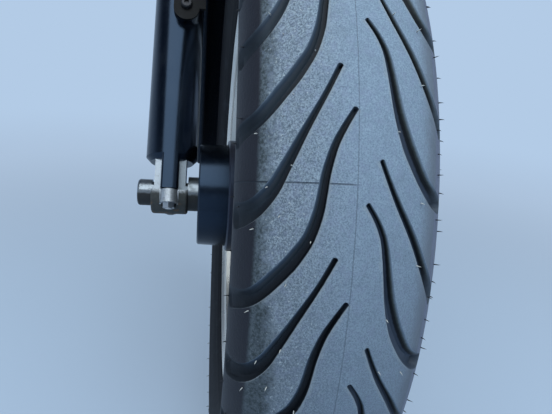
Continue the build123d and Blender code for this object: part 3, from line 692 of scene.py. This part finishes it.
hair_points, hair_faces = [], []
for number, (start, stretch, _) in enumerate(blocks):
    for s, angles in hair_rows:
        for count, spot in enumerate(angles):
            edge = border(s)
            while spot > edge:
                spot -= wide_pitch
            while spot < edge - wide_pitch:
                spot += wide_pitch
            angle = start + edge + (spot - edge) * stretch
            vary = sin(number * 7.3 + s * 1.7 + count * 2.9)
            if vary > hair_skip:
                continue
            length = hair_length / 1000 * (0.8 + 0.2 * vary) * min(1, (abs(s) - hair_least) / 14)
            up = (on_tread(angle, s, -1) - on_tread(angle, s)).normalized()
            side = up.cross(Vector((0, 1, 0))).normalized()
            along = up.cross(side)
            lean = side * (0.35 * vary) - Vector((0, 0, 0.25))
            root = on_tread(angle, s, 0.3)
            base = len(hair_points)
            for level, share in enumerate(hair_levels):
                middle = root + (up * level * 0.45 + lean * (level * 0.32) ** 2) * length
                wide = share * hair_radius
                hair_points += ringed(middle, side, along, wide, wide, hair_sides)
            hair_points.append(root + (up * 1.25 + lean * 0.9) * length)
            for low in (base, base + hair_sides):
                hair_faces += bridged(low, low + hair_sides, hair_sides)
            last, tip = base + 2 * hair_sides, base + 3 * hair_sides
            hair_faces += [(last + i, last + (i + 1) % hair_sides, tip) for i in range(hair_sides)]
            hair_faces.append(tuple(base + i for i in reversed(range(hair_sides))))

# those on the smooth shoulders are as dark as the shoulders
whisker, place = begun("vent_whisker")
y = place.split()[1]
# the black hairs elsewhere are painted pale grey: a painted highlight
hair_painted_highlight = blended(speckle(place, 1.2, 2), colour(150, 152, 150), colour(214, 216, 214))
on_shoulders = eased(y, 50.0, 53.0).maths("MAXIMUM", eased(y * -1.0, 57.0, 59.0))
covered(place, Base_Color=blended(on_shoulders, hair_painted_highlight, colour(20, 23, 30)), Roughness=0.6)
piece("vent_hairs", hair_points, hair_faces, "wheel", (), whisker)

# Rim
# A 17 inch rolled steel rim with a deep well for the nipples, plated bright.
# A thin road film dulls it in patches, most of all down in the well.
well_from, well_to = 204.0, 216.0


def worn(material, *names):
    """Gives CAD pieces their finish."""
    for name in names:
        nodes[name].data.materials.clear()
        nodes[name].data.materials.append(material)


rim_plating, place = begun("rim_plating")
turned, radius, y = around(place)
polish = speckle(joined(radius * 0.5, y * 0.5, turned * 0.03), 1.0, 1)
film = eased(speckle(place, 0.03, 3, 0.5), 0.35, 0.8, 0.36, 0.5) + eased(radius, well_from, well_to, 0.3, 0.0)
shade = blended(film, (0.95, 0.92, 0.87, 1), colour(176, 174, 168))
covered(place, Base_Color=shade, Metallic=1.0 - film * 0.4, Roughness=0.15 + film * 0.25 + polish * 0.06,
        Normal=raised(polish, 0.01, 0.15))
worn(rim_plating, "rim")

# Tyre valve
# A turned stem through the rim's well, held by a flat nut, with a ribbed black cap.
cap_from = 176.0


def either(share, first, second):
    """A number turning from the first to the second as share goes from 0 to 1."""
    return first + share * (second - first)


def waved(wire):
    """Waves between 0 and 1, one in every 2 pi of the wire."""
    return wire.maths("SINE") * 0.5 + 0.5


valve_metal, place = begun("valve_metal")
turned, radius, y = around(place)
on_cap = radius < cap_from
ribs = waved(turned * 60.0 + y * 4.0)
thread = waved(radius * 7.0)
stain = speckle(place, 0.5, 3)
metal = blended(stain, (0.62, 0.55, 0.40, 1), (0.42, 0.38, 0.30, 1))
plastic = blended(stain, colour(18, 18, 20), colour(34, 34, 36))
covered(place, Base_Color=blended(on_cap, metal, plastic), Metallic=1.0 - on_cap,
        Roughness=0.3 + on_cap * 0.25 + stain * 0.1, Normal=raised(either(on_cap, thread, ribs), 0.15, 0.6))
worn(valve_metal, "valve_stem")

# Spokes
# Forty stainless spokes, laced in two crossed sets a side, screwed into plated nipples at the rim.
# Road dirt gathers at the hub's end, where a brush can't reach.
nipple_from, dirt_full, dirt_end = 183.0, 62.0, 100.0
spoke_steel, place = begun("spoke_steel")
radius = around(place)[1]
stain = speckle(place, 0.12, 4, 0.65)
dirt = eased(radius, dirt_full, dirt_end, 0.6, 0.1) * eased(stain, 0.35, 0.65)
metal = blended(radius > nipple_from, (0.62, 0.63, 0.65, 1), (0.78, 0.78, 0.77, 1))
covered(place, Base_Color=blended(dirt, metal, colour(74, 70, 64)), Metallic=1.0 - dirt * 0.6,
        Roughness=0.2 + dirt * 0.4 + stain * 0.08, Normal=raised(speckle(place, 1.5, 2), 0.05, 0.4))
worn(spoke_steel, "spokes")

# Hub
# A cast aluminium hub enamelled black, with a turned drum and a wider ring on the right.
# The ring's rim has lost its gloss, and its grey-mauve tone is partly a painted reflection of the rim. The
# bearing seats are bare machined metal.
seat_radius, seat_from = 26.4, 68.5
ring_inner, ring_outer, ring_radius = -44.9, -56.3, 59.4
# the blue specular tint is a painted reflection, standing for blue sky mirrored in the enamel
gloss = {"Specular_IOR_Level": 0.6, "Specular_Tint": (0.42, 0.64, 1.0, 1)}


def enamel(place, shade, dust, share):
    """Black enamel: a faint ripple in the gloss, a film of dust and a few dried drops."""
    film = eased(speckle(place, 0.03, 4, 0.6), 0.45, 0.8) * share
    drops = eased(speckle(place, 0.22, 1, 0.3), 0.66, 0.70) * (share * 0.6)
    ripple = raised(speckle(place, 0.14, 1), 0.02, 0.3)
    return blended(film.maths("MAXIMUM", drops), shade, dust), 0.22 + film * 0.25 + drops * 0.2, ripple


hub_paint, place = begun("hub_paint")
_, radius, y = around(place)
seat = (radius < seat_radius) * (abs(y) > seat_from)
ring = (y < ring_inner) * (y > ring_outer) * (radius > ring_radius)
base, rough, ripple = enamel(place, colour(3, 5, 9), colour(84, 90, 98), 0.09)
# partly painted reflection: the ring is grey-mauve where the rim is mirrored in it
base = blended(ring, base, blended(speckle(place, 0.3, 3), colour(24, 24, 30), colour(44, 42, 50)))
base = blended(seat, base, (0.5, 0.51, 0.52, 1))
covered(place, Base_Color=base, Metallic=seat, Roughness=either(seat, either(ring, rough, 0.3), 0.3),
        Normal=ripple, **gloss)
worn(hub_paint, "hub")

# Hub bearings
# Ball bearings pressed into both ends of the hub, with ground races and a rubber seal between them.
seal_inner, seal_outer = 16.0, 22.8
bearing_steel, place = begun("bearing_steel")
turned, radius, _ = around(place)
seal = (radius > seal_inner) * (radius < seal_outer)
grain = speckle(place, 0.9, 3)
turning = speckle(joined(radius * 3.0, 0.0, turned * 0.02), 1.0, 2)
race = blended(grain, (0.5, 0.51, 0.52, 1), (0.62, 0.63, 0.64, 1))
shade = blended(seal, race, blended(grain, colour(20, 20, 22), colour(36, 35, 34)))
covered(place, Base_Color=shade, Metallic=1.0 - seal, Roughness=either(seal, 0.2, 0.6) + grain * 0.08,
        Normal=raised(turning, 0.06, 0.5))
worn(bearing_steel, "hub_bearings")

# Brake disc
# A drilled stainless disc on five arms, its band ground bright by the pads.
# The arms keep the dark finish of the blank, with a little brake dust.
band_inner, band_edge = 113.0, 3.0
disc_steel, place = begun("disc_steel")
turned, radius, _ = around(place)
swept = eased(radius, band_inner, band_inner + band_edge)
score = speckle(joined(radius * 2.4, 0.0, turned * 0.01), 1.0, 3, 0.7)
dusty = eased(speckle(place, 0.06, 4), 0.4, 0.75)
band = blended(score, (0.40, 0.40, 0.42, 1), (0.60, 0.60, 0.61, 1))
arms = blended(dusty, colour(44, 45, 48), colour(82, 78, 74))
covered(place, Base_Color=blended(swept, arms, band), Metallic=either(swept, 0.6, 1.0) - dusty * 0.1,
        Roughness=either(swept, 0.45, 0.24) + score * 0.1, Normal=raised(score * swept, 0.05, 0.6))
worn(disc_steel, "brake_disc")

# Axle, its nut, washer and spacers
# Turned steel, zinc plated, with fine tool rings and patches of road dirt. Each underside is painted dark, a
# painted reflection of the dark ground below.
thread_from, thread_radius, thread_pitch = 142.6, 10.2, 1.5
axle_steel, place = begun("axle_steel")
turned, radius, y = around(place)
z = place.split()[2]
tool = speckle(joined(radius * 1.2, y * 2.6, turned * 0.02), 1.0, 3, 0.6)
stain = speckle(place, 0.16, 4, 0.65)
# painted shade: the lower side of each round piece goes dark, with random dirt patches over it
dirt_and_painted_shade = eased(z / radius + (stain - 0.5) * 0.25, 0.38, 0.16, 0.0, 0.96)
dirt_and_painted_shade = dirt_and_painted_shade.maths("MAXIMUM", eased(stain, 0.45, 0.7, 0.06, 0.4))
thread = (y * (2 * pi / thread_pitch)).maths("SINE") * (y > thread_from) * (radius < thread_radius)
zinc = blended(tool, (0.20, 0.22, 0.24, 1), (0.30, 0.33, 0.36, 1))
covered(place, Base_Color=blended(dirt_and_painted_shade, zinc, colour(20, 20, 20)), Metallic=1.0 - dirt_and_painted_shade * 0.9,
        Roughness=0.24 + tool * 0.08 + dirt_and_painted_shade * 0.3, Normal=raised(tool * 0.15 + thread * 0.5, 0.35, 0.7))
worn(axle_steel, "axle", "axle_nut", "axle_washer", "spacer_left", "spacer_right")

# Fork sliders
# Aluminium castings enamelled gloss black. The right one's foot is milled bright on both sides
# of a tongue that keeps the paint; the left one ends in a closed eye and carries the caliper.
# On the fork, v is forward, y across and u up along the legs.
rake = radians(29)
leg_y = 119.2
foot_depth, foot_half, foot_waist, pad_height, foot_top, tongue_half = 17.1, 20.1, 17.1, 5.1, 38.5, 9.4
slider_paint, place = begun("slider_paint", rake)
v, y, u = place.split()
out = abs(y + leg_y)
wide = (out < foot_waist).maths("MAXIMUM", (out < foot_half) * (u < pad_height))
milled = (abs(v) < foot_depth) * wide * (u < foot_top) * (out > tongue_half) * (y < 0.0)
milling = speckle(joined(v * 0.3, y * 0.3, u * 2.6), 1.0, 2)
scratch = eased(speckle(joined(v * 0.9, y * 1.4, u * 0.06), 1.0, 3, 0.7), 0.60, 0.70)
base, rough, ripple = enamel(place, colour(2, 3, 7), colour(88, 94, 102), 0.07)
base = blended(scratch * 0.05, base, colour(120, 126, 132))
bright = blended(milling, (0.29, 0.32, 0.35, 1), (0.41, 0.44, 0.48, 1))
bright = blended(eased(speckle(place, 0.3, 3, 0.7), 0.50, 0.75) * 0.6, bright, colour(104, 104, 98))
# painted shade: the inboard milled flat is darker than the outboard one
bright = blended(eased(y, -leg_y + 2, -leg_y + 12, 0, 0.55), bright, colour(74, 84, 90))
covered(place, Base_Color=blended(milled, base, bright), Metallic=milled * 0.85,
        Roughness=either(milled, rough, 0.42), Normal=ripple, **gloss)
worn(slider_paint, "slider_right", "slider_left")

# Axle cap
# A bare aluminium casting clamped under the right foot. Salt and oil have turned it dark and dull.
# Its top, by the split, is painted bright over the dark below, a painted reflection of sky over dark ground.
# The front of its lug is rubbed bright, and the nut has run some rust.
lug_from, lug_radius = 17.0, 10.1
cast_aluminium, place = begun("cast_aluminium", rake)
v, y, u = place.split()
crust = speckle(place, 0.35, 4, 0.7)
pits = speckle(place, 1.4, 2, 0.6)
lug = (v > lug_from) * (abs(y + leg_y) < lug_radius)
# painted light: the top by the split is bright, standing for the sky's reflection; the lug's front is rubbed
rubbed_and_painted_light = eased(u + crust * 6.0, -3.0, 3.0) * 0.8
rubbed_and_painted_light = rubbed_and_painted_light.maths("MAXIMUM", lug * eased(crust, 0.25, 0.6, 0.55, 1.0))
rust = eased(speckle(place, 0.14, 3, 0.6), 0.52, 0.62) * eased(u, -12.0, -17.0) * 0.75
dark = blended(crust, colour(44, 46, 46), colour(86, 88, 86))
shade = blended(rubbed_and_painted_light, dark, blended(pits, (0.42, 0.44, 0.46, 1), (0.62, 0.65, 0.68, 1)))
shade = blended(rust, shade, colour(96, 70, 46))
covered(place, Base_Color=shade, Metallic=either(rubbed_and_painted_light, 0.35, 0.9) - rust * 0.3,
        Roughness=either(rubbed_and_painted_light, 0.62, 0.36) + crust * 0.1, Normal=raised(crust * 0.6 + pits * 0.4, 0.5, 0.7))
worn(cast_aluminium, "axle_cap")

# Cap studs
# Two plated studs and nuts that pull the cap up. The rear one is darker than the front one.
stud_zinc, place = begun("stud_zinc", rake)
# darker towards the rear
rear_darker = eased(place.split()[0], 6.0, -6.0, 0.1, 0.85)
tool = speckle(place, 0.7, 3, 0.6)
zinc = blended(tool, (0.50, 0.52, 0.54, 1), (0.72, 0.74, 0.76, 1))
covered(place, Base_Color=blended(rear_darker, zinc, colour(34, 32, 29)), Metallic=1.0 - rear_darker * 0.6,
        Roughness=0.22 + rear_darker * 0.3 + tool * 0.1, Normal=raised(tool, 0.12, 0.5))
worn(stud_zinc, "cap_studs")

# Fork tubes and their caps
# Hard chromed steel, ground and polished along its length, closed by a capped hexagon on top.
# A film of dust lies over the first stretch above the seals and thins out upward.
film_full, film_end = 342.0, 372.0
tube_plating, place = begun("tube_plating", rake)
v, y, u = place.split()
ground = speckle(joined(v * 0.2, y * 0.2, u * 3.0), 1.0, 2)
film = eased(speckle(place, 0.05, 4, 0.6), 0.5, 0.8) * 0.3 + eased(u, film_full, film_end, 0.3, 0.0)
shade = blended(film, (0.72, 0.73, 0.75, 1), colour(112, 112, 110))
covered(place, Base_Color=shade, Metallic=1.0 - film * 0.4, Roughness=0.09 + ground * 0.05 + film * 0.3,
        Normal=raised(ground, 0.02, 0.3))
worn(tube_plating, "fork_tube_left", "fork_tube_right", "fork_cap_left", "fork_cap_right")

# Dust seals
# Moulded rubber rings pressed over the tops of the sliders, grey with dust in their creases.
seal_rubber, place = begun("seal_rubber", rake)
creases = waved(place.split()[2] * 1.6)
grain = speckle(place, 0.6, 3)
dusty = eased(grain, 0.4, 0.7) * (1.0 - creases * 0.6)
covered(place, Base_Color=blended(dusty, colour(24, 24, 26), colour(72, 72, 72)),
        Roughness=0.6 + grain * 0.15, Normal=raised(creases * 0.6 + grain * 0.4, 0.5, 0.6))
worn(seal_rubber, "dust_seal_left", "dust_seal_right")

# Fork clamps
# Two cast aluminium plates in satin black powder coat, with the fine orange peel of baked powder.
clamp_paint, place = begun("clamp_paint", rake)
peel = speckle(place, 0.7, 2, 0.5)
film = eased(speckle(place, 0.035, 4, 0.6), 0.45, 0.8) * 0.25
powder = blended(peel, colour(14, 14, 17), colour(22, 22, 25))
covered(place, Base_Color=blended(film, powder, colour(92, 94, 96)),
        Roughness=0.34 + peel * 0.12 + film * 0.3, Normal=raised(peel, 0.12, 0.5))
worn(clamp_paint, "lower_clamp", "upper_clamp")

# Steering stem and its nut
# A forged stem, blackened by heat treatment, ground bright where the two head bearings sit.
# The nut above the upper clamp is plated.
lower_seat, lower_seat_end, upper_seat = 532.0, 548.0, 712.0
stem_steel, place = begun("stem_steel", rake)
v, y, u = place.split()
ground_seat = (u > lower_seat) * (u < lower_seat_end) + (u > upper_seat)
scale = speckle(place, 0.2, 4, 0.65)
tool = speckle(joined(v * 0.2, y * 0.2, u * 2.4), 1.0, 2)
black = blended(scale, colour(38, 38, 42), colour(62, 60, 62))
ground = blended(tool, (0.48, 0.48, 0.5, 1), (0.64, 0.64, 0.66, 1))
covered(place, Base_Color=blended(ground_seat, black, ground), Metallic=either(ground_seat, 0.6, 1.0),
        Roughness=either(ground_seat, 0.5, 0.2) + scale * 0.1,
        Normal=raised(scale * 0.4 + tool * 0.3, 0.15, 0.6))
worn(stem_steel, "steering_stem", "stem_nut")

# Fender
# Pressed steel in gloss black over the wheel, grey underneath where the tyre throws dust and grit.
# Its edge is rolled round a wire, thinner where it passes the legs.
sheet_half_width, edge_radius, crown_curve, crown_centre, corner_curve = 86.75, 285.0, 135.75, 213.0, 20.75
bead_height, bead_out, bead_in, leg_radius, leg_gap = 3.6, 95.0, 85.5, 29.0, 1.0
leg_angle, front_end, rear_end = 119.0, 96.0, 186.0
corner_steps, crown_steps, edge_steps, bead_sides = 6, 16, 60, 12
fender_paint, place = begun("fender_paint")
facing = place.node("ShaderNodeTexCoord", output="Normal")
outward = place.node("ShaderNodeVectorMath", {"operation": "MULTIPLY"}, {0: place, 1: (1, 3, 1)})
agreement = place.node("ShaderNodeVectorMath", {"operation": "DOT_PRODUCT"}, {0: outward, 1: facing}, "Value")
outside = agreement > 0.0
base, rough, ripple = enamel(place, colour(2, 3, 7), colour(86, 92, 100), 0.1)
grit = speckle(place, 0.35, 4, 0.75)
under = blended(eased(grit, 0.42, 0.66), colour(12, 13, 16), colour(40, 40, 40))
covered(place, Base_Color=blended(outside, under, base), Roughness=either(outside, 0.75, rough),
        Normal=ripple, **gloss)
worn(fender_paint, "fender")


def bead_reach(angle):
    """How far out the bead comes at an angle, so that it clears the leg."""
    v = edge_radius * sin(radians(angle - leg_angle))
    if abs(v) >= leg_radius:
        return bead_out
    return min(bead_out, leg_y - (leg_radius ** 2 - v ** 2) ** 0.5 - leg_gap)


# the line over an end of the sheet: place across, radius
corner_y = sheet_half_width - corner_curve
corner_z = crown_centre + ((crown_curve - corner_curve) ** 2 - corner_y ** 2) ** 0.5
meet = atan2(corner_z - crown_centre, corner_y)
corner_turns = [meet * i / corner_steps for i in range(corner_steps + 1)]
crown_turns = [meet + (pi - 2 * meet) * i / crown_steps for i in range(1, crown_steps)]
corner = [(corner_y + corner_curve * cos(a), corner_z + corner_curve * sin(a)) for a in corner_turns]
crown = [(crown_curve * cos(a), crown_centre + crown_curve * sin(a)) for a in crown_turns]
end_line = corner + crown + [(-y, z) for y, z in reversed(corner)]
# the whole edge: angle, place across, radius, half width, whether on a side
edge_angles = [front_end + (rear_end - front_end) * i / edge_steps for i in range(edge_steps + 1)]
half_widths = [(bead_reach(a) - bead_in) / 2 for a in edge_angles]
side_line = [(a, bead_in + half, edge_radius, half, True) for a, half in zip(edge_angles, half_widths)]
loop = side_line + [(rear_end, y, z, bead_height, False) for y, z in end_line]
loop += [(a, -y, z, half, True) for a, y, z, half, on_side in reversed(side_line)]
loop += [(front_end, y, z, bead_height, False) for y, z in reversed(end_line)]
bead_points, bead_faces = [], []
for i, (angle, y, radius, half, on_side) in enumerate(loop):
    middle = on_wheel(radians(angle), y, radius)
    before, after = loop[i - 1], loop[(i + 1) % len(loop)]
    way = on_wheel(radians(after[0]), *after[1:3]) - on_wheel(radians(before[0]), *before[1:3])
    way.normalize()
    if on_side:
        out = Vector((0, 1 if y > 0 else -1, 0))
    else:
        out = Vector((-sin(radians(angle)), 0, cos(radians(angle)))).cross(way)
        if out.dot(middle - on_wheel(radians(angle), 0, crown_centre)) < 0:
            out = -out
    other = way.cross(out).normalized()
    bead_points += ringed(middle, other.cross(way), other, half, bead_height, bead_sides)
    bead_faces += bridged(i * bead_sides, (i + 1) % len(loop) * bead_sides, bead_sides)
piece("fender_edge", bead_points, bead_faces, "fork", (), fender_paint)

# Fender brackets
# Folded steel plates in dull black, bolted to the sliders' pads and along the fender's sides.
bracket_black, place = begun("bracket_black", rake)
peel = speckle(place, 0.8, 2)
film = eased(speckle(place, 0.05, 4, 0.6), 0.5, 0.8) * 0.12
paint = blended(peel, colour(4, 5, 8), colour(8, 9, 12))
covered(place, Base_Color=blended(film, paint, colour(80, 84, 90)), Roughness=0.34 + peel * 0.1,
        Normal=raised(peel, 0.1, 0.4), Specular_IOR_Level=0.1)
worn(bracket_black, "fender_bracket_left", "fender_bracket_right")

# Caliper and its pads
# A cast body in satin black, dusted by its own pads, which are sintered lining on steel plates.
disc_middle, lining = 74.5, 4.9
caliper_paint, place = begun("caliper_paint", rake)
cast = speckle(place, 0.5, 3, 0.6)
film = eased(speckle(place, 0.05, 4, 0.65), 0.42, 0.75) * 0.35
paint = blended(cast, colour(16, 16, 19), colour(26, 26, 29))
covered(place, Base_Color=blended(film, paint, colour(78, 70, 62)),
        Roughness=0.36 + cast * 0.14 + film * 0.3, Normal=raised(cast, 0.25, 0.5))
worn(caliper_paint, "caliper")
pad_lining, place = begun("pad_lining", rake)
plate = abs(place.split()[1] - disc_middle) > lining
grit = speckle(place, 1.3, 3, 0.7)
shade = blended(grit, colour(60, 54, 50), colour(112, 100, 88))
shade = blended(plate, shade, blended(grit, colour(24, 24, 26), colour(44, 42, 42)))
covered(place, Base_Color=shade, Metallic=0.4, Roughness=either(plate, 0.75, 0.5),
        Normal=raised(grit, 0.3, 0.6))
worn(pad_lining, "brake_pads")

# Screws
# Blackened steel cap screws with rounded heads and hexagon sockets, turned and then pressed.
# Five hold the disc, one pinches each end of a clamp, and two and two more hold each fender bracket.
screw_sides, socket_radius, socket_floor = 24, 0.42, 0.45
bolt_black, place = begun("bolt_black", rake)
tool = speckle(place, 0.8, 3, 0.6)
covered(place, Base_Color=blended(tool, (0.012, 0.012, 0.015, 1), (0.045, 0.045, 0.05, 1)), Metallic=0.45,
        Roughness=0.32 + tool * 0.15, Normal=raised(tool, 0.1, 0.5), Specular_IOR_Level=0.35)
worn(bolt_black, "caliper_bolts")


def on_leg(v, y, u):
    """A point of the part's frame, in metres, from lengths forward of, across and up the fork's line."""
    return axle_point + Vector((v * cos(rake) - u * sin(rake), y, v * sin(rake) + u * cos(rake))) / 1000


def screws(name, body, node_names, spots, head_radius, head, shank_radius, shank):
    """Like screws. Each spot is v, y and u of the point under the head, and the head's way along v and y."""
    outline = ((shank_radius * 0.8, -shank), (shank_radius, 1 - shank), (shank_radius, 0),
               (head_radius - 0.3, 0), (head_radius, 0.3), (head_radius, head * 0.5),
               (head_radius * 0.95, head * 0.78), (head_radius * 0.82, head * 0.96),
               (head_radius * 0.7, head))
    turns = [2 * pi * i / screw_sides for i in range(screw_sides)]
    socket = [head_radius * socket_radius / cos((a + pi / 6) % (pi / 3) - pi / 6) for a in turns]
    ring_count = len(outline) + 2
    points, faces = [], []
    for v, y, u, way_v, way_y in spots:
        root = on_leg(v, y, u)
        way = (on_leg(v + way_v, y + way_y, u) - root).normalized()
        side = way.orthogonal().normalized()
        other = way.cross(side)
        base = len(points)
        for radius, rise in outline:
            points += ringed(root + way * rise / 1000, side, other, radius, radius, screw_sides)
        for rise in (head, head * socket_floor):
            points += [root + (way * rise + (side * cos(a) + other * sin(a)) * radius) / 1000
                       for a, radius in zip(turns, socket)]
        for number in range(ring_count - 1):
            faces += bridged(base + number * screw_sides, base + (number + 1) * screw_sides, screw_sides)
        faces.append(tuple(range(base + screw_sides - 1, base - 1, -1)))
        faces.append(tuple(range(base + (ring_count - 1) * screw_sides, base + ring_count * screw_sides)))
    made = piece(name, points, faces, body, node_names, bolt_black)
    made.data.set_sharp_from_angle(angle=radians(32))


disc_face, disc_bolt_circle = 77.0, 41.0
disc_turns = [radians(360 / 5 * n) for n in range(5)]
screws("disc_screws", "wheel", ("disc_bolts", ),
       [(disc_bolt_circle * sin(a), disc_face, disc_bolt_circle * cos(a), 0, 1) for a in disc_turns],
       head_radius=6.5, head=5.5, shank_radius=4.0, shank=17.0)
pinch_v, pinch_out, clamp_middles = 27.5, 20.0, (513.0, 749.0)
screws("pinch_screws", "fork", ("pinch_bolts", ),
       [(pinch_v, side * (leg_y + pinch_out), u, 0, side) for side in (1, -1) for u in clamp_middles],
       head_radius=6.5, head=8.0, shank_radius=4.0, shank=35.0)
bracket_face, bracket_y, bracket_heights = 39.0, 109.7, (214.0, 246.0)
screws("bracket_screws", "fork", ("bracket_bolts_left", "bracket_bolts_right"),
       [(bracket_face, side * bracket_y, u, 1, 0) for side in (1, -1) for u in bracket_heights],
       head_radius=6.5, head=5.0, shank_radius=3.95, shank=12.0)
flange_face, flange_u, flange_holes = 92.0, 308.0, (21.0, 33.0)
screws("fender_screws", "fork", (),
       [(v, side * flange_face, flange_u, 0, side) for side in (1, -1) for v in flange_holes],
       head_radius=5.2, head=3.4, shank_radius=2.8, shank=10.0)
